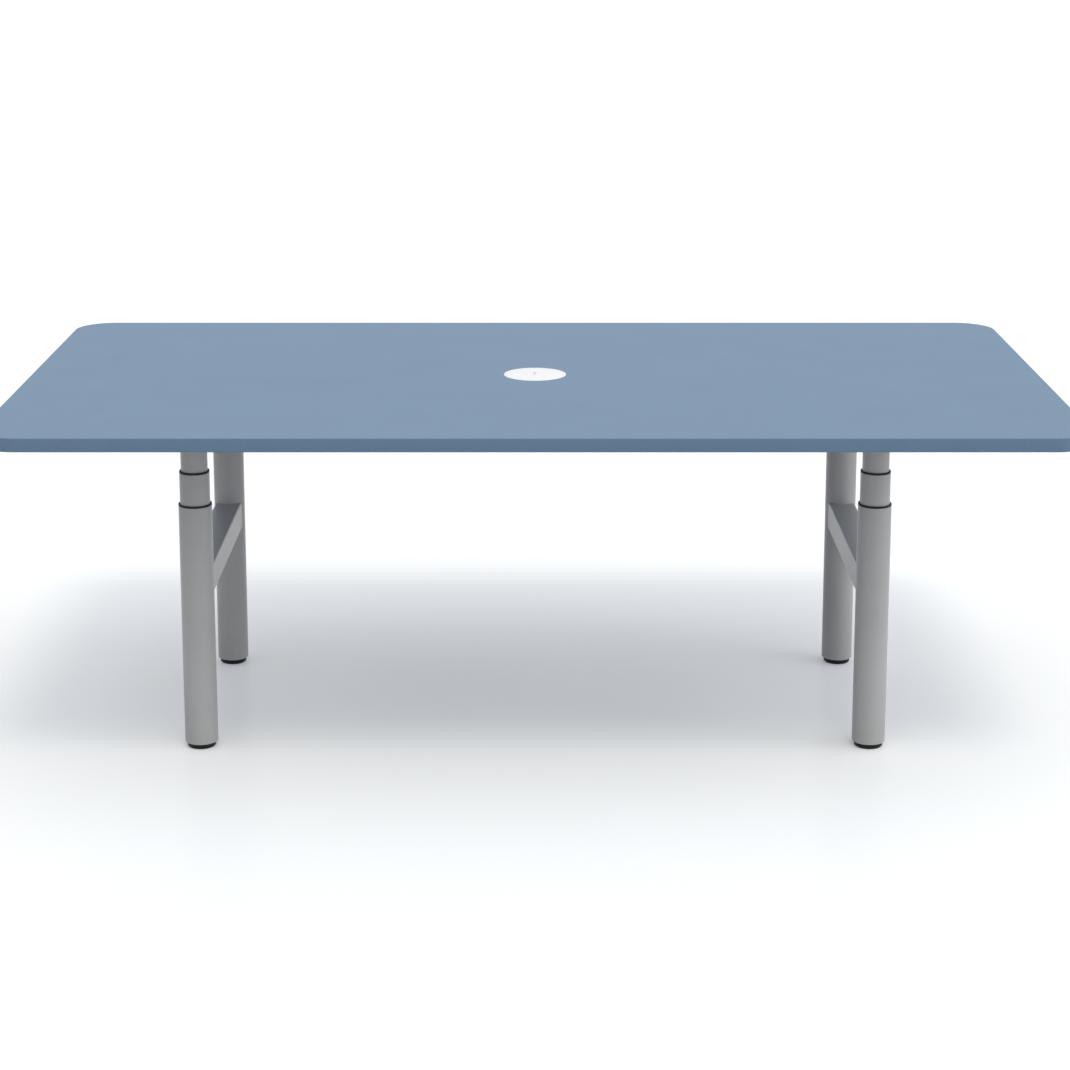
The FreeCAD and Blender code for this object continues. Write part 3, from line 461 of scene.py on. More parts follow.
# %% [markdown]
# ## Sizes from the frame
# The real table's sizes are in the CAD model. They could be typed again here, but then the two
# could drift apart. So places and lengths are read from the CAD nodes' boxes, in millimetres,
# and the dressed pieces follow the model. Only what a box cannot show, such as a radius or a
# wall, is written in the cell of its piece.

# %% Sizes
CORNERS = ("front_left", "front_right", "rear_left", "rear_right")


def node_box(node):
    """Lowest and highest corner of a CAD node in millimetres."""
    low, high = (np.array(corner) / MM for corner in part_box(node))
    return low, high


TOP_LOW, TOP_HIGH = node_box("edge_band")
TOP_LENGTH, TOP_WIDTH = (TOP_HIGH - TOP_LOW)[:2]
UNDERSIDE, SURFACE = TOP_LOW[2], TOP_HIGH[2]
legs = {}
for corner in CORNERS:
    low, high = node_box("outer_tube_" + corner)
    legs[corner] = (low + high)[:2] / 2
print("top %.0f x %.0f mm, surface at %.0f mm" % (TOP_LENGTH, TOP_WIDTH, SURFACE))
print("columns at", {corner: np.round(at, 1).tolist() for corner, at in legs.items()})

# %% [markdown]
# ## The outline of the top
# The top is sawn to a rectangle with generous corners, and the strip on its edge follows the
# same line. It could be drawn as a curve. Computed with an inset it serves for all: the board,
# the seam and the strip are one outline, moved inwards by different amounts.

# %% Outline of the top
CORNER_RADIUS = 85.0
CORNER_STEPS = 24
SIDE_STEPS = 24


def top_outline(inset):
    """Outline of the top, moved inwards."""
    return dense_outline(
        TOP_LENGTH - 2 * inset, TOP_WIDTH - 2 * inset, CORNER_RADIUS - inset,
        CORNER_STEPS, SIDE_STEPS,
    )


print("points round the top:", len(top_outline(0.0)))

# %% [markdown]
# ## The board
# It is a particle board faced with blue laminate, with a hole in the middle for the cable port.
# It could be a slab with the hole cut by a Boolean, which leaves long thin faces round the
# hole. Here it is one closed surface of loops. They run from the outline over the face to the
# hole, down its rebate and back below, each a blend of the outline and a circle.

# %% Board
FACE_ROWS = 8
BAND = 2.0
SEAM = 0.25
PORT_RING = 68.25
PORT_REBATE = 745.0
PORT_HOLE = 57.25
board_edge = top_outline(BAND)
face_edge = top_outline(BAND + SEAM)
towards = board_edge / np.linalg.norm(board_edge, axis=1, keepdims=True)
shares = np.linspace(0, 1, FACE_ROWS + 1)[1:]
rows = [
    at_level(board_edge, UNDERSIDE),
    at_level(board_edge, SURFACE - SEAM),
    at_level(face_edge, SURFACE),
]
rows += [
    at_level(face_edge * (1 - share) + towards * (PORT_RING + SEAM) * share, SURFACE)
    for share in shares
]
rows += [
    at_level(towards * PORT_RING, SURFACE - SEAM),
    at_level(towards * PORT_RING, PORT_REBATE),
    at_level(towards * PORT_HOLE, PORT_REBATE),
    at_level(towards * PORT_HOLE, UNDERSIDE),
]
rows += [
    at_level(towards * PORT_HOLE * (1 - share) + board_edge * share, UNDERSIDE)
    for share in shares[:-1]
]
make_piece("board", [shell(np.array(rows))], LAMINATE, ["tabletop"])

# %% [markdown]
# ## The edging
# A 2 mm plastic strip is glued round the board, and a cutter rounds its arrises. A bevel on the
# board would round board and strip as one. Carrying the strip's own small section round the
# outline keeps the seam between them, which shows as a fine line.

# %% Edging
BAND_ROUND = 1.5
BAND_STEPS = 6
strip = closed_profile([
    (BAND, UNDERSIDE, SEAM),
    (0, UNDERSIDE, BAND_ROUND),
    (0, SURFACE, BAND_ROUND),
    (BAND, SURFACE, SEAM),
], BAND_STEPS)
rows = [at_level(top_outline(inset), level) for inset, level in strip]
make_piece("edging", [shell(np.array(rows))], EDGING_WITH_PAINTED_SHADE, ["edge_band"])

# %% [markdown]
# ## The port's collar
# A white moulded collar is let into the board flush with its face, and its shelf carries the
# lid. Rings could be cut from cylinders, but a collar is round all over, so one section turned
# about the axis gives flange, shelf and barrel together with their mould radii.

# %% Collar
PORT_STEPS = 144
COLLAR_FLANGE = 68.0
COLLAR_RIM = 63.0
COLLAR_BARREL = 57.0
COLLAR_BORE = 54.0
COLLAR_BASE = node_box("port_collar")[0][2]
SHELF = node_box("port_lid")[0][2]
collar = closed_profile([
    (COLLAR_FLANGE, PORT_REBATE, 0.3),
    (COLLAR_FLANGE, SURFACE, 0.6),
    (COLLAR_RIM, SURFACE, 0.5),
    (COLLAR_RIM, SHELF, 0.2),
    (COLLAR_BORE, SHELF, 0.8),
    (COLLAR_BORE, COLLAR_BASE, 0.6),
    (COLLAR_BARREL, COLLAR_BASE, 0.6),
    (COLLAR_BARREL, PORT_REBATE, 0.2),
])
make_piece("collar", [shell(turned(collar, segments=PORT_STEPS))], WHITE,
           ["port_collar"])

# %% [markdown]
# ## The lid and its knob
# The lid is a thin disc that drops onto the shelf, and a small turned knob lifts it off. Two
# bevelled cylinders could stand for them. Turned profiles that end in a flat cap give each rim
# its own rounding, and no fan of thin triangles meets in the middle of the lid.

# %% Lid and knob
LID_RADIUS = 62.7
LID_CAP = 40.0
KNOB_STEPS = 48
KNOB_ARC_STEPS = 6
KNOB_STEM = 2.25
KNOB_GRIP = 3.5
KNOB_CAP = 0.8
KNOB_LOW, KNOB_HIGH = (corner[2] for corner in node_box("port_lid_knob"))
NECK = KNOB_LOW + 1.8
SHOULDER = KNOB_LOW + 2.0
lid = open_profile([
    (LID_CAP, SHELF, 0.0),
    (LID_RADIUS, SHELF, 0.3),
    (LID_RADIUS, SURFACE, 0.5),
    (LID_CAP, SURFACE, 0.0),
])
make_piece("lid", [shell(turned(lid, segments=PORT_STEPS), ring=False)], WHITE,
           ["port_lid"])
knob = open_profile([
    (KNOB_STEM, KNOB_LOW, 0.0),
    (KNOB_STEM, NECK, 0.3),
    (KNOB_GRIP, SHOULDER, 0.3),
    (KNOB_GRIP, KNOB_HIGH, 1.2),
    (KNOB_CAP, KNOB_HIGH, 0.0),
], KNOB_ARC_STEPS)
make_piece("knob", [shell(turned(knob, segments=KNOB_STEPS), ring=False)], ALUMINIUM,
           ["port_lid_knob"])

# %% [markdown]
# ## The column tubes
# Each leg is three round steel tubes that slide in one another, powder coated in a satin grey.
# A cylinder with a Solidify modifier would do for the wall, but not for its ends, which are
# deburred after sawing. So a tube is the revolution of its wall's section, with small arcs at
# the section's corners.

# %% Tubes
STAGES = {"outer": 70.0, "middle": 63.0, "inner": 56.0}
TUBE_WALL = 2.0
DEBURR = 0.5
for corner, centre in legs.items():
    for stage, diameter in STAGES.items():
        node = "%s_tube_%s" % (stage, corner)
        low, high = node_box(node)
        outside = diameter / 2
        inside = outside - TUBE_WALL
        wall = closed_profile([
            (outside, low[2], DEBURR),
            (outside, high[2], DEBURR),
            (inside, high[2], DEBURR),
            (inside, low[2], DEBURR),
        ])
        make_piece("tube_%s_%s" % (stage, corner), [shell(turned(wall, centre))], COLUMN,
                   [node])

# %% [markdown]
# ## The guide rings
# A black guide ring closes the gap at the top of the outer and the middle tube, and the next
# stage slides through it. Only its flange shows, as a dark line. A torus would show the same
# line, but the section here has the sleeve inside the tube as well, because the ring is a
# piece of its own that someone may take out and look at.

# %% Guide rings
RING_PLAY = 0.25
RING_NOSE = 0.9
RING_LIP = 0.4
RING_SEAT = 0.25
RING_EDGE = 0.2
SLIDING = {"outer": "middle", "middle": "inner"}
for corner, centre in legs.items():
    for stage, sliding in SLIDING.items():
        node = "%s_guide_ring_%s" % (stage, corner)
        low, high = node_box(node)
        seat = node_box("%s_tube_%s" % (stage, corner))[1][2]
        flange = STAGES[stage] / 2
        sleeve = flange - TUBE_WALL
        bore = STAGES[sliding] / 2 + RING_PLAY
        section = closed_profile([
            (flange, seat, RING_SEAT),
            (flange, high[2], RING_NOSE),
            (bore, high[2], RING_LIP),
            (bore, low[2], RING_EDGE),
            (sleeve, low[2], RING_EDGE),
            (sleeve, seat, RING_EDGE),
        ])
        make_piece("ring_%s_%s" % (stage, corner), [shell(turned(section, centre))], BLACK,
                   [node])

# %% [markdown]
# ## The feet
# A black foot with a threaded stud screws into each column and levels the table. Pad and stud
# could be two cylinders; turned as one profile they stay one closed piece, and the chamfer at
# the floor, which catches the light, gets its own rounding.

# %% Feet
FOOT_STUD = 5.0
STUD_CHAMFER = 1.0
FOOT_CHAMFER = 2.5
FOOT_FLAT = 6.0
for corner, centre in legs.items():
    low, high = node_box("foot_" + corner)
    pad_top = node_box("outer_tube_" + corner)[0][2]
    pad = (high - low)[0] / 2
    section = open_profile([
        (pad - FOOT_FLAT, low[2], 0.0),
        (pad - FOOT_CHAMFER, low[2], 0.8),
        (pad, low[2] + FOOT_CHAMFER, 1.5),
        (pad, pad_top, 0.6),
        (FOOT_STUD, pad_top, 0.3),
        (FOOT_STUD, high[2], 0.5),
        (FOOT_STUD - STUD_CHAMFER, high[2], 0.0),
    ])
    make_piece("foot_pad_" + corner, [shell(turned(section, centre), ring=False)], BLACK,
               ["foot_" + corner])

# %% [markdown]
# ## The crossbars
# A square tube joins the two columns of each end. Its ends are coped, that is cut to the round
# of the column: at the distance x from the middle the cut lies sqrt(R^2 - x^2) from the
# column's axis. A Boolean could cut them. Here the outline carries many points, and each is
# moved along the bar to the cut, so the end follows the round and stays clear of the drive.

# %% Crossbars
BAR_WALL = 2.5
BAR_ROUND = 3.0
BAR_STEPS = {"corner_steps": 8, "side_steps": 56}
COLUMN_RADIUS = STAGES["outer"] / 2
LEG_Y = abs(legs["front_left"][1])


def cope(x):
    """Distance of the cut from the middle of the bar, for points x from its centre line."""
    return LEG_Y - np.sqrt(COLUMN_RADIUS**2 - x**2)


def bar_outline(size, radius):
    """Square outline with as many points as the bar's, so that they match."""
    return dense_outline(size, size, radius, **BAR_STEPS)


bars = {}
for side in ("left", "right"):
    low, high = node_box("crossbar_" + side)
    middle = (low + high) / 2
    size = high[2] - low[2]
    bars[side] = (middle, size)
    skin = bar_outline(size, BAR_ROUND)
    bore = bar_outline(size - 2 * BAR_WALL, BAR_ROUND - BAR_WALL)
    rows = []
    for outline, end in ((skin, -1), (skin, 1), (bore, 1), (bore, -1)):
        rows.append(np.column_stack([
            middle[0] + outline[:, 0], end * cope(outline[:, 0]), middle[2] + outline[:, 1],
        ]))
    make_piece("crossbar_tube_" + side, [shell(np.array(rows))], COLUMN,
               ["crossbar_" + side])

# %% [markdown]
# ## The welds
# A small concave bead of weld runs round each end of a crossbar under the paint. A fillet
# would be smooth; a welder's bead has fine ripples along the seam. So each bead is a curve
# between bar and column, carried round the joint, whose root moves in and out in a sine.

# %% Welds
WELD_LEG = 2.5
WELD_SINK = 0.2
WELD_RIPPLE = 0.3
WELD_PITCH = 2.6
BEAD_ROWS = 6


def weld_bead(middle, size, end):
    """Rows of a bead between a point on the bar and one on the column, both a weld leg from
    their meeting line: quadratic blend (1-t)^2 bar + 2t(1-t) root + t^2 column, with the root
    pushed in and out along the seam as the welder's ripples are."""
    seam = bar_outline(size, BAR_ROUND)
    buried = bar_outline(size - 2 * WELD_SINK, BAR_ROUND)
    around = bar_outline(size + 2 * WELD_LEG, BAR_ROUND + WELD_LEG)
    run = np.cumsum(np.linalg.norm(seam - np.roll(seam, 1, axis=0), axis=1))
    ripple = WELD_RIPPLE * np.sin(TURN * np.round(run[-1] / WELD_PITCH) * run / run[-1])
    on_bar = np.column_stack([buried[:, 0], cope(seam[:, 0]) - WELD_LEG, buried[:, 1]])
    on_column = np.column_stack([around[:, 0], cope(around[:, 0]) + WELD_SINK, around[:, 1]])
    root = np.column_stack([seam[:, 0], cope(seam[:, 0]) + ripple, seam[:, 1]])
    inside = np.column_stack([buried[:, 0], cope(buried[:, 0]) + WELD_SINK, buried[:, 1]])
    blend = np.linspace(0, 1, BEAD_ROWS)[:, None, None]
    rows = (1 - blend)**2 * on_bar + 2 * blend * (1 - blend) * root + blend**2 * on_column
    rows = np.concatenate([rows, inside[None]])
    return rows * np.array([1, end, 1]) + np.array([middle[0], 0, middle[2]])


for side, (middle, size) in bars.items():
    beads = [shell(weld_bead(middle, size, end)) for end in (-1, 1)]
    make_piece("crossbar_weld_" + side, beads, COLUMN, body="base")

# %% [markdown]
# ## The support rails
# A folded steel channel carries the board across each pair of columns, and its walls run out
# in a taper towards the tips. It could be a bent sheet with Solidify. The channel's section is
# carried along the rail instead, and below the bend its depth is scaled at each station, so
# the walls taper and the bend keeps its radius.

# %% Support rails
RAIL_WALL = 3.0
RAIL_BEND = 5.0
RAIL_EDGE = 0.6
TAPER = 150.0
TIP_HEIGHT = 14.0
BEND_ZONE = 8.0
for side in ("left", "right"):
    low, high = node_box("support_rail_" + side)
    outside = (high - low)[0] / 2
    inside = outside - RAIL_WALL
    middle = (low + high)[0] / 2
    full = high[2] - low[2]
    section = closed_profile([
        (-outside, -full, RAIL_EDGE),
        (-outside, 0, RAIL_BEND),
        (outside, 0, RAIL_BEND),
        (outside, -full, RAIL_EDGE),
        (inside, -full, RAIL_EDGE),
        (inside, -RAIL_WALL, RAIL_BEND - RAIL_WALL),
        (-inside, -RAIL_WALL, RAIL_BEND - RAIL_WALL),
        (-inside, -full, RAIL_EDGE),
    ])
    along = np.array([low[1], low[1] + TAPER, high[1] - TAPER, high[1]])
    wall = np.array([TIP_HEIGHT, full, full, TIP_HEIGHT])
    depth = -section[:, 1][None, :]
    reach = (wall[:, None] - BEND_ZONE) / (full - BEND_ZONE)
    drop = np.where(depth < BEND_ZONE, depth, BEND_ZONE + (depth - BEND_ZONE) * reach)
    grid = np.stack([
        np.broadcast_to(middle + section[:, 0], drop.shape),
        np.broadcast_to(along[:, None], drop.shape),
        high[2] - drop,
    ], axis=-1)
    make_piece("rail_" + side, [shell(grid, ring=False)], FRAME,
               ["support_rail_" + side])

# %% [markdown]
# ## The long beams
# Two rectangular tubes with welded end plates tie the rails together under the board. A solid
# bar would look the same from outside, but the tube's wall is real, so skin and bore are two
# matching outlines joined at the ends, and each plate is a block with eased edges.

# %% Long beams with their end plates
BEAM_WIDTH = 30.0
BEAM_WALL = 2.0
BEAM_ROUND = 3.0
BEAM_BORE_ROUND = 1.0
PLATE = 4.0
PLATE_CORNER = 4.0
PLATE_EASE = 0.5
for side in ("front", "rear"):
    low, high = node_box("long_beam_" + side)
    middle = (low + high) / 2
    height = high[2] - low[2]
    first, last = low[0] + PLATE, high[0] - PLATE
    skin = round_box(BEAM_WIDTH, height, BEAM_ROUND)
    bore = round_box(BEAM_WIDTH - 2 * BEAM_WALL, height - 2 * BEAM_WALL, BEAM_BORE_ROUND)
    rows = []
    for outline, end in ((skin, first), (skin, last), (bore, last), (bore, first)):
        rows.append(np.column_stack([
            np.full(len(outline), end), middle[1] + outline[:, 0], middle[2] + outline[:, 1],
        ]))
    shells = [shell(np.array(rows))]
    for left, right in ((low[0], first), (last, high[0])):
        shells.append(block((left, low[1], low[2]), (right, high[1], high[2]), PLATE_CORNER,
                            PLATE_EASE, axes=(1, 2, 0)))
    make_piece("beam_" + side, shells, FRAME, ["long_beam_" + side])

# %% [markdown]
# ## The column heads
# A cast head joins each column to its rail: a flat plate for the screws and a socket that
# takes the inner tube, with a flare where they meet. One sculpted mesh could hold both. A
# block and a turned socket are simpler, and the flare hides the joint as a casting's does.

# %% Column heads
HEAD_PLATE = 6.0
HEAD_CORNER = 8.0
HEAD_EASE = 1.0
HEAD_SOCKET = 32.0
FLARE_WIDTH = 5.0
FLARE_HEIGHT = 6.0
FLARE_ROUND = 6.0
HEAD_BORE = STAGES["inner"] / 2
for corner, centre in legs.items():
    low, high = node_box("column_head_" + corner)
    base = high[2] - HEAD_PLATE
    socket = closed_profile([
        (HEAD_SOCKET, low[2], 1.0),
        (HEAD_SOCKET, base - FLARE_HEIGHT, FLARE_ROUND),
        (HEAD_SOCKET + FLARE_WIDTH, base, 0.3),
        (HEAD_BORE, base, 0.2),
        (HEAD_BORE, low[2], 0.5),
    ])
    shells = [
        block((low[0], low[1], base), high, HEAD_CORNER, HEAD_EASE),
        shell(turned(socket, centre)),
    ]
    make_piece("head_" + corner, shells, CAST, ["column_head_" + corner])

# %% [markdown]
# ## Where the screws sit
# Wood screws hold the heads, the rail tips, the control box and the handset to the board. They
# could be scattered by hand; here their places follow from the columns and from a few offsets
# of the CAD model, so they stay in their holes.

# %% Screw places
SCREW_SEAT = {"plate": 713.0, "sheet": 719.0}
PLATE_SCREW = (24.5, 58.0)
RAIL_SCREW_Y = 440.0
CONTROL_X = 330.0
LUG_SCREW = 134.0
HANDSET_SCREW = (46.0, 555.0)
screw_at = []
for centre in legs.values():
    for sign_x in (-1, 1):
        for sign_y in (-1, 1):
            offset = np.multiply((sign_x, sign_y), PLATE_SCREW)
            screw_at.append((*(centre + offset), SCREW_SEAT["plate"]))
    screw_at.append((centre[0], math.copysign(RAIL_SCREW_Y, centre[1]), SCREW_SEAT["sheet"]))
for sign in (-1, 1):
    screw_at.append((CONTROL_X + sign * LUG_SCREW, 0.0, SCREW_SEAT["sheet"]))
    screw_at.append((CONTROL_X + sign * HANDSET_SCREW[0], HANDSET_SCREW[1], SCREW_SEAT["sheet"]))
print("screws:", len(screw_at))

# %% [markdown]
# ## The screws
# Each is a zinc-plated pan-head screw, seen from below. A cylinder with a cone would be enough
# from far off. One profile turned from the floor of the driver recess, over the domed head, to
# the tip of the shank also holds up close.

# %% Screws
SCREW_STEPS = 24
SCREW_ARC_STEPS = 3
SCREW_SHANK = 2.5
SCREW_HEAD = 5.0
SCREW_LENGTH = 24.0
SCREW_POINT = 2.0
HEAD_RIM = -1.4
HEAD_TOP = -3.0
screw = open_profile([
    (1.0, HEAD_RIM, 0.0),
    (1.7, HEAD_RIM, 0.1),
    (1.8, HEAD_TOP, 0.15),
    (3.2, HEAD_TOP, 1.0),
    (SCREW_HEAD, HEAD_RIM, 0.6),
    (SCREW_HEAD, 0, 0.2),
    (SCREW_SHANK, 0, 0.2),
    (SCREW_SHANK, SCREW_LENGTH - SCREW_POINT, 0.5),
    (0.4, SCREW_LENGTH, 0.0),
], SCREW_ARC_STEPS)
screws = [
    shell(turned(screw + (0, seat), (x, y), SCREW_STEPS), ring=False) for x, y, seat in screw_at
]
make_piece("screws", screws, ZINC, ["tabletop_screws"])

# %% [markdown]
# ## The control box
# The case of the lifting control is a moulded shell, open at one end for the plugs, with a
# screw lug at each end. A hollowed cube would need a Boolean for the bay. Its outline is
# carried along X instead, then turns inwards at the open end and runs back to the floor of
# the bay, so case and bay are one skin.

# %% Control box
BOX_EASE = 3.0
BOX_CORNER = 3.5
BOX_HALF = 125.0
BAY_WIDTH = 76.0
BAY_HEIGHT = 18.0
BAY_DEPTH = 10.0
BAY_CORNER = 1.0
LUG_LENGTH = 18.0
LUG_WIDTH = 36.0
LUG_THICK = 3.0
LUG_LAP = 1.0
LUG_CORNER = 4.0
LUG_EASE = 0.5
low, high = node_box("control_box")
width = high[1] - low[1]
height = high[2] - low[2]
box_level = (low + high)[2] / 2
inset, rise = eased_rim(BOX_EASE)
stations = [(CONTROL_X - BOX_HALF + x, i) for x, i in zip(rise, inset)]
stations += [(CONTROL_X + BOX_HALF - x, i) for x, i in zip(rise[::-1], inset[::-1])]
sections = [
    (x, round_box(width - 2 * i, height - 2 * i, BOX_CORNER - i)) for x, i in stations
]
bay = round_box(BAY_WIDTH, BAY_HEIGHT, BAY_CORNER)
bay_floor = CONTROL_X + BOX_HALF - BAY_DEPTH
sections += [(CONTROL_X + BOX_HALF, bay), (bay_floor, bay)]
grid = np.array([
    np.column_stack([np.full(len(outline), x), outline[:, 0], box_level + outline[:, 1]])
    for x, outline in sections
])
case = [shell(grid, ring=False)]
for sign in (-1, 1):
    ends = sorted((CONTROL_X + sign * (BOX_HALF - LUG_LAP),
                   CONTROL_X + sign * (BOX_HALF + LUG_LENGTH)))
    case.append(block((ends[0], -LUG_WIDTH / 2, high[2] - LUG_THICK),
                      (ends[1], LUG_WIDTH / 2, high[2]), LUG_CORNER, LUG_EASE))
make_piece("control_case", case, DARK, ["control_box"])

# %% [markdown]
# ## The sockets in the bay
# A row of sockets shows on the floor of the bay, one for each motor and one for the handset.
# They could be painted on, but a low block with eased edges keeps its shape when the light
# comes from the side. Each is sunk a little into the floor, so no gap shows.

# %% Sockets
SOCKETS = 5
SOCKET_SIDE = 11.0
SOCKET_RISE = 0.9
SOCKET_SINK = 0.2
SOCKET_CORNER = 1.2
SOCKET_EASE = 0.3
SOCKET_MARGIN = 3.0
half = SOCKET_SIDE / 2
sockets = []
for place in np.linspace(-1, 1, SOCKETS) * (BAY_WIDTH / 2 - half - SOCKET_MARGIN):
    sockets.append(block(
        (bay_floor - SOCKET_SINK, place - half, box_level - half),
        (bay_floor + SOCKET_RISE, place + half, box_level + half),
        SOCKET_CORNER, SOCKET_EASE, axes=(1, 2, 0),
    ))
make_piece("control_sockets", sockets, BUTTON, body=body_with["control_box"])

# %% [markdown]
# ## The thread of the lifting screws
# Inside each column a screw turns in the nut of the stage below it, and a wider hollow one
# runs round it. A Screw modifier could wind the thread. It is a wave on the radius here: the
# thread is trapezoidal with two starts, so at height z and angle a the phase is
# z / pitch - starts a / turn, and the radius steps between crest and root over the flanks.

# %% Thread
THREAD_PITCH = 5.0
THREAD_STARTS = 2
THREAD_DEPTH = 1.2
THREAD_STEP = 1.25


def threaded(radius, bottom, top, centre, segments):
    """Rows of a threaded shank: radius minus depth times a trapezoid wave of the phase, which
    is twice the distance from the crest, less a half, held between 0 and 1."""
    z = np.arange(bottom, top, THREAD_STEP)[:, None]
    angle = np.linspace(0, TURN, segments, endpoint=False)[None, :]
    phase = z / THREAD_PITCH - THREAD_STARTS * angle / TURN
    wave = np.clip(2 * np.abs(phase % 1 * 2 - 1) - 0.5, 0, 1)
    reach = radius - THREAD_DEPTH * wave
    return np.stack([
        centre[0] + reach * np.cos(angle), centre[1] + reach * np.sin(angle),
        np.broadcast_to(z, reach.shape),
    ], axis=-1)


print("lead of the thread: %.0f mm a turn" % (THREAD_PITCH * THREAD_STARTS))

# %% [markdown]
# ## The upper lifting screws
# A solid screw comes down from the motor at the head of each column and turns in the nut of
# the middle stage. Rod and ends could be separate cylinders; rows of the thread between two
# chamfered ends close it as one piece.

# %% Upper lifting screws
SPINDLE_CHAMFER = 1.0
UPPER_STEPS = 20
for corner, centre in legs.items():
    low, high = node_box("upper_spindle_" + corner)
    radius = (high - low)[0] / 2
    root = radius - SPINDLE_CHAMFER
    tip = turned(np.array([(root, low[2])]), centre, UPPER_STEPS)
    rod = threaded(radius, low[2] + SPINDLE_CHAMFER, high[2] - SPINDLE_CHAMFER, centre,
                   UPPER_STEPS)
    end = turned(np.array([(root, high[2])]), centre, UPPER_STEPS)
    make_piece("thread_upper_" + corner, [shell(np.concatenate([tip, rod, end]), ring=False)],
               STEEL, ["upper_spindle_" + corner])

# %% [markdown]
# ## The lower lifting screws
# A hollow screw with a thrust flange at its top runs round the upper one and turns in the nut
# of the base. Its bore could be cut by a Boolean. As a ring of rows, up the thread, over the
# flange and back down the bore, it is closed without a cut.

# %% Lower lifting screws
SPINDLE_BORE = 5.5
SPINDLE_WALL = 3.0
THRUST_FLANGE = 8.0
FLANGE_EASE = 0.5
LOWER_STEPS = 24
for corner, centre in legs.items():
    low, high = node_box("lower_spindle_" + corner)
    flange = (high - low)[0] / 2
    radius = SPINDLE_BORE + SPINDLE_WALL
    root = radius - SPINDLE_CHAMFER
    neck = high[2] - THRUST_FLANGE
    tip = turned(np.array([(SPINDLE_BORE, low[2]), (root, low[2])]), centre, LOWER_STEPS)
    rod = threaded(radius, low[2] + SPINDLE_CHAMFER, neck - SPINDLE_CHAMFER, centre, LOWER_STEPS)
    head = turned(np.array([
        (root, neck),
        (flange - FLANGE_EASE, neck),
        (flange, neck + FLANGE_EASE),
        (flange, high[2] - FLANGE_EASE),
        (flange - FLANGE_EASE, high[2]),
        (SPINDLE_BORE, high[2]),
    ]), centre, LOWER_STEPS)
    make_piece("thread_lower_" + corner, [shell(np.concatenate([tip, rod, head]))], STEEL,
               ["lower_spindle_" + corner])

# %% [markdown]
# ## The handset's keys
# The handset hangs under the rear edge. Its two keys are moulded caps with rounded rims, and
# an arrow on each says which way the table goes. Printed arrows would need a picture, so they
# are low raised triangles with round corners, which ride on their key.

# %% Keys and their arrows
KEY_CORNER = 2.0
KEY_EASE = 0.6
ARROW = 5.0
ARROW_RISE = 0.25
ARROW_CORNER = 0.4
for name, point in (("up_button", 1), ("down_button", -1)):
    low, high = node_box(name)
    middle = (low + high) / 2
    face = high[1] - ARROW_RISE
    cap = block(low, (high[0], face, high[2]), KEY_CORNER, KEY_EASE, axes=(0, 2, 1))
    make_piece(name + "_cap", [cap], BUTTON, [name])
    foot = -point * ARROW / 3
    outline = closed_profile([
        (-ARROW / 2, foot, ARROW_CORNER),
        (ARROW / 2, foot, ARROW_CORNER),
        (0, point * ARROW / 2, ARROW_CORNER),
    ])
    rows = [np.column_stack([
        middle[0] + outline[:, 0], np.full(len(outline), depth), middle[2] + outline[:, 1],
    ]) for depth in (face - ARROW_RISE, high[1])]
    make_piece(name + "_arrow", [shell(np.array(rows), ring=False)], PRINT,
               body=body_with[name])

# %% [markdown]
# ## Finishes for the CAD parts that stay
# The drive inside the columns, the frame bolts and the handset's case have the right shape
# already. They could be rebuilt like the rest, but hardly anything of them shows. They keep
# their CAD meshes, and each gets the finish of its slot in the record.

# %% Finish the remaining CAD nodes
FINISH_OF_SLOT = {
    "blue_laminate": LAMINATE,
    "blue_edging": EDGING_WITH_PAINTED_SHADE,
    "white_plastic": WHITE,
    "knob_aluminium": ALUMINIUM,
    "grey_column": COLUMN,
    "black_plastic": BLACK,
    "grey_frame": FRAME,
    "cast_aluminium": CAST,
    "screw_steel": STEEL,
    "motor_steel": MOTOR,
    "slide_plastic": SLIDE,
    "zinc_steel": ZINC,
    "dark_plastic": DARK,
    "button_plastic": BUTTON,
}
slot_of_node = {part["node"]: part["material_slot"] for part in frame["record"]["subparts"]}
kept = [name for name in nodes if not nodes[name].hide_render]
for name in kept:
    nodes[name].material_slots[0].material = FINISH_OF_SLOT[slot_of_node[name]]
print("CAD nodes that stay:", kept)

# %% [markdown]
# ## Rays that show the background
# A studio's background is white. It could be lit until it is white, but so much light would
# bleach the table. A Light Path node tells what a ray is for instead: the rays that show the
# background, straight, in a mirror or through glass, get their own brightness, and the rays
# that carry light to the table do not.

# %% Background rays
PLAIN_WHITE = (1.0, 1.0, 1.0, 1.0)


def background_ray(tree):
    """1 for the rays that show the background: camera, mirror and see-through rays; else 0."""
    path = wire(tree, "ShaderNodeLightPath").outputs
    shown = wire(tree, "ShaderNodeMath", {0: path["Is Camera Ray"], 1: path["Is Glossy Ray"]},
                 operation="MAXIMUM").outputs[0]
    return wire(tree, "ShaderNodeMath", {0: shown, 1: path["Is Transmission Ray"]},
                operation="MAXIMUM").outputs[0]


print("background colour:", PLAIN_WHITE[:3])

# %% [markdown]
# ## The floor
# The table stands on a plain pale floor that fades to white. A plain white plane would do, but
# it throws much light up at the columns and the underside. So its paint is a matt coat with a
# thin gloss that glows a little towards the rays that show the background, and it gives less
# light back to the table than it shows. That keeps the columns darker under the top, as in the
# photograph.

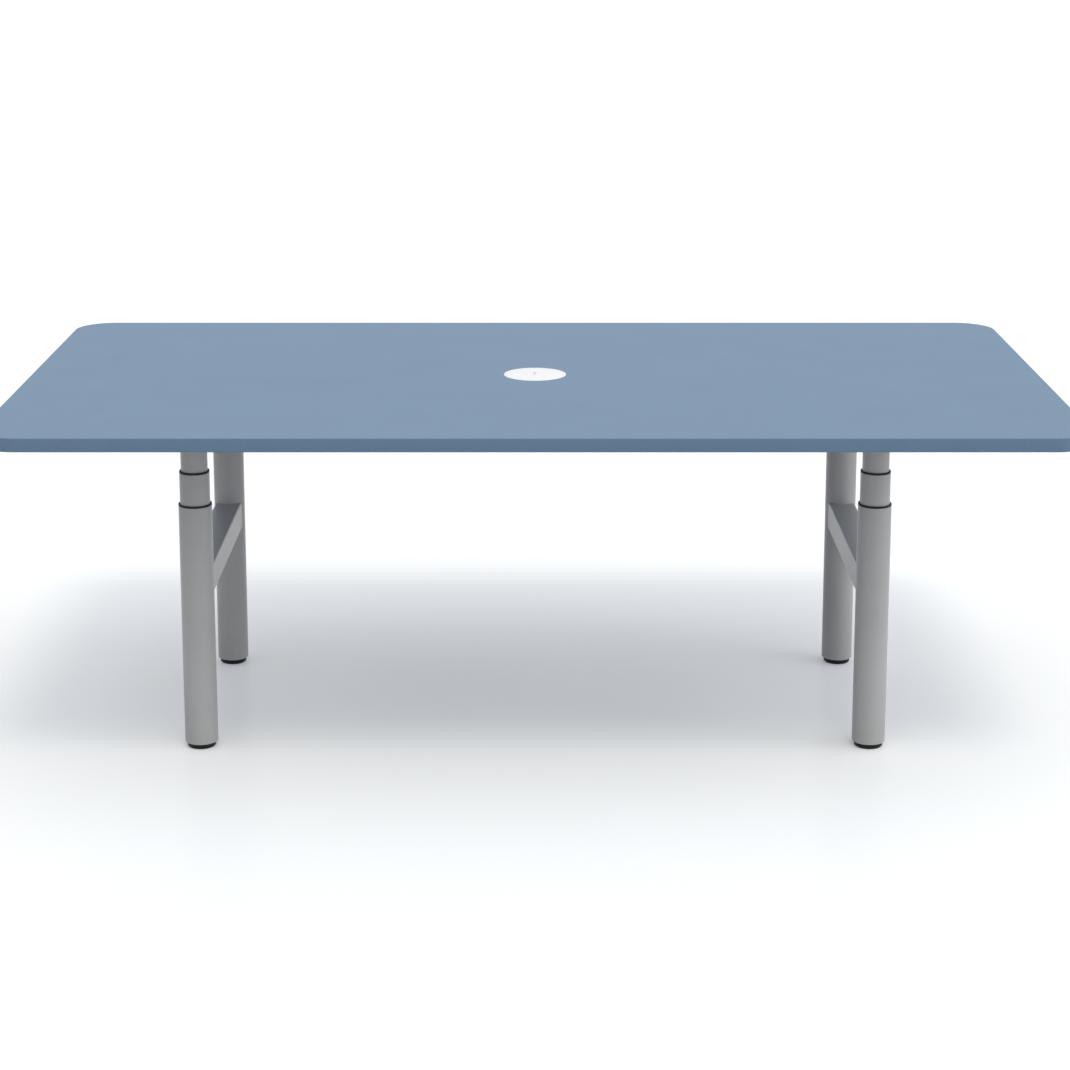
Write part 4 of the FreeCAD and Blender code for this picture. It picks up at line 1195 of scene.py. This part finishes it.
# %% Floor
FLOOR_SIZE = 120.0
FLOOR_SEEN = 0.90
FLOOR_GLOW = 0.20
FLOOR_GLOSS = 0.04
FLOOR_SHEEN = 0.22
FLOOR_BOUNCE = 0.46
floor_mesh = bpy.data.meshes.new("floor")
floor_corners = at_level(box_corners(FLOOR_SIZE, FLOOR_SIZE), 0.0)
floor_mesh.from_pydata(floor_corners.tolist(), [], [(0, 1, 2, 3)])
floor = bpy.data.objects.new("floor", floor_mesh)
bpy.context.scene.collection.objects.link(floor)
paint = bpy.data.materials.new("floor_paint")
paint.use_nodes = True
tree = paint.node_tree
tree.nodes.clear()
ray = background_ray(tree)
seen = wire(tree, "ShaderNodeMapRange", {
    "Value": ray,
    "To Min": FLOOR_BOUNCE,
    "To Max": FLOOR_SEEN,
}).outputs[0]
matt = wire(tree, "ShaderNodeBsdfDiffuse", {"Color": seen})
sheen = wire(tree, "ShaderNodeBsdfGlossy", {"Color": PLAIN_WHITE, "Roughness": FLOOR_SHEEN})
painted = wire(tree, "ShaderNodeMixShader", {"Fac": FLOOR_GLOSS})
tree.links.new(matt.outputs[0], painted.inputs[1])
tree.links.new(sheen.outputs[0], painted.inputs[2])
strength = wire(tree, "ShaderNodeMapRange", {"Value": ray, "To Max": FLOOR_GLOW}).outputs[0]
glow = wire(tree, "ShaderNodeEmission", {"Strength": strength})
total = wire(tree, "ShaderNodeAddShader")
tree.links.new(painted.outputs[0], total.inputs[0])
tree.links.new(glow.outputs[0], total.inputs[1])
output = wire(tree, "ShaderNodeOutputMaterial")
tree.links.new(total.outputs[0], output.inputs["Surface"])
floor_mesh.materials.append(paint)
print("floor: %.0f m square" % FLOOR_SIZE)

# %% [markdown]
# ## The sky
# A studio's soft light comes from large white surfaces. They could be a ring of area lamps; a
# sky worked out from the direction is smoother and leaves no lamp-shaped glints. In the
# direction (x, y, z) it is z plus a low share, times a level that leans to the right and the
# front, so it is dim at the horizon and bright overhead. The rays that show the background see
# plain white instead.

# %% Sky
SKY_LEVEL = 0.92
SKY_LOW = 0.22
SKY_LEAN = (0.32, -0.30, 0.0)
SKY_TINT = (0.955, 1.0, 1.05, 1.0)
world = bpy.context.scene.world or bpy.data.worlds.new("studio")
bpy.context.scene.world = world
world.use_nodes = True
tree = world.node_tree
tree.nodes.clear()
direction = wire(tree, "ShaderNodeTexCoord").outputs["Generated"]
lean = wire(tree, "ShaderNodeVectorMath", {0: direction, 1: SKY_LEAN},
            operation="DOT_PRODUCT").outputs["Value"]
height = wire(tree, "ShaderNodeSeparateXYZ", {"Vector": direction}).outputs["Z"]
around = wire(tree, "ShaderNodeMath", {0: lean, 1: SKY_LEVEL}, operation="ADD").outputs[0]
upwards = wire(tree, "ShaderNodeMath", {0: height, 1: SKY_LOW}, operation="ADD").outputs[0]
level = wire(tree, "ShaderNodeMath", {0: around, 1: upwards}, operation="MULTIPLY").outputs[0]
sky = wire(tree, "ShaderNodeBackground", {"Color": SKY_TINT, "Strength": level})
plain = wire(tree, "ShaderNodeBackground", {"Color": PLAIN_WHITE, "Strength": 1.0})
mixed = wire(tree, "ShaderNodeMixShader")
tree.links.new(background_ray(tree), mixed.inputs[0])
tree.links.new(sky.outputs[0], mixed.inputs[1])
tree.links.new(plain.outputs[0], mixed.inputs[2])
output = wire(tree, "ShaderNodeOutputWorld")
tree.links.new(mixed.outputs[0], output.inputs["Surface"])
print("sky: %.2f at the horizon, %.2f overhead" % (SKY_LOW * SKY_LEVEL, (1 + SKY_LOW) * SKY_LEVEL))

# %% [markdown]
# ## The key lamp
# One weak key from above and in front draws the edge of the shadow. A spot or an area lamp
# would spread it. A sun lamp shines at the same angle everywhere, so the shadow keeps the
# board's outline, and the sun's wide disc softens its rim.

# %% Key lamp
KEY_FROM = (0.13, -0.50, 1.0)
KEY_STRENGTH = 0.60
KEY_ANGLE = 16.0
KEY_TINT = (1.0, 0.94, 0.82)
key_data = bpy.data.lights.new("key", "SUN")
key_data.energy = KEY_STRENGTH
key_data.color = KEY_TINT
key_data.angle = math.radians(KEY_ANGLE)
key = bpy.data.objects.new("key", key_data)
bpy.context.scene.collection.objects.link(key)
from_x, from_y, from_z = KEY_FROM
key_tilt = math.atan2(-from_y, from_z)
key_roll = math.atan2(from_x, math.hypot(from_y, from_z))
key.rotation_euler = (key_tilt, key_roll, 0.0)
print("key: %.0f degrees towards the front" % math.degrees(key_tilt))

# %% [markdown]
# ## The side lamp
# Soft light from the right models the round of the columns. A lamp beside the table would do
# it, but would favour the nearer pair. So it is a large one far off, which lights both pairs
# alike.

# %% Side lamp
SIDE_AT = (10.0, -2.6, 2.0)
SIDE_TO = (0.0, 0.0, 0.45)
SIDE_POWER = 189.0
SIDE_SIZE = 5.3
side_data = bpy.data.lights.new("side", "AREA")
side_data.energy = SIDE_POWER
side_data.size = SIDE_SIZE
side_lamp = bpy.data.objects.new("side", side_data)
bpy.context.scene.collection.objects.link(side_lamp)
aim_x, aim_y, aim_z = np.subtract(SIDE_TO, SIDE_AT)
side_tilt = math.atan2(math.hypot(aim_x, aim_y), -aim_z)
side_turn = math.atan2(aim_y, aim_x) - math.pi / 2
side_lamp.location = SIDE_AT
side_lamp.rotation_euler = (side_tilt, 0.0, side_turn)
print("side lamp: %.1f m away" % math.dist(SIDE_AT, SIDE_TO))

# %% [markdown]
# ## The camera
# The photograph looks at the table from the front, a little above the top, through a long
# lens. Its verticals are upright, as with a level camera whose frame is shifted down. The
# whole of that shift would push the table out of the other views, so part of it is made by
# tilting the camera instead.

# %% Camera
LENS = 81.42
SENSOR = 36.0
SHIFT_Y = -0.18
CAMERA_Y = -5.176
CAMERA_Z = 1.855
PITCH = 11.30
camera_data = bpy.data.cameras.new("camera")
camera_data.lens = LENS
camera_data.sensor_width = SENSOR
camera_data.shift_y = SHIFT_Y
camera = bpy.data.objects.new("camera", camera_data)
camera.location = (0.0, CAMERA_Y, CAMERA_Z)
camera.rotation_euler = (math.radians(90.0 - PITCH), 0.0, 0.0)
bpy.context.scene.collection.objects.link(camera)
bpy.context.scene.camera = camera
bpy.context.scene.view_settings.view_transform = "Standard"
print("camera: lens %.1f mm, tilted down by %.1f degrees" % (LENS, PITCH))
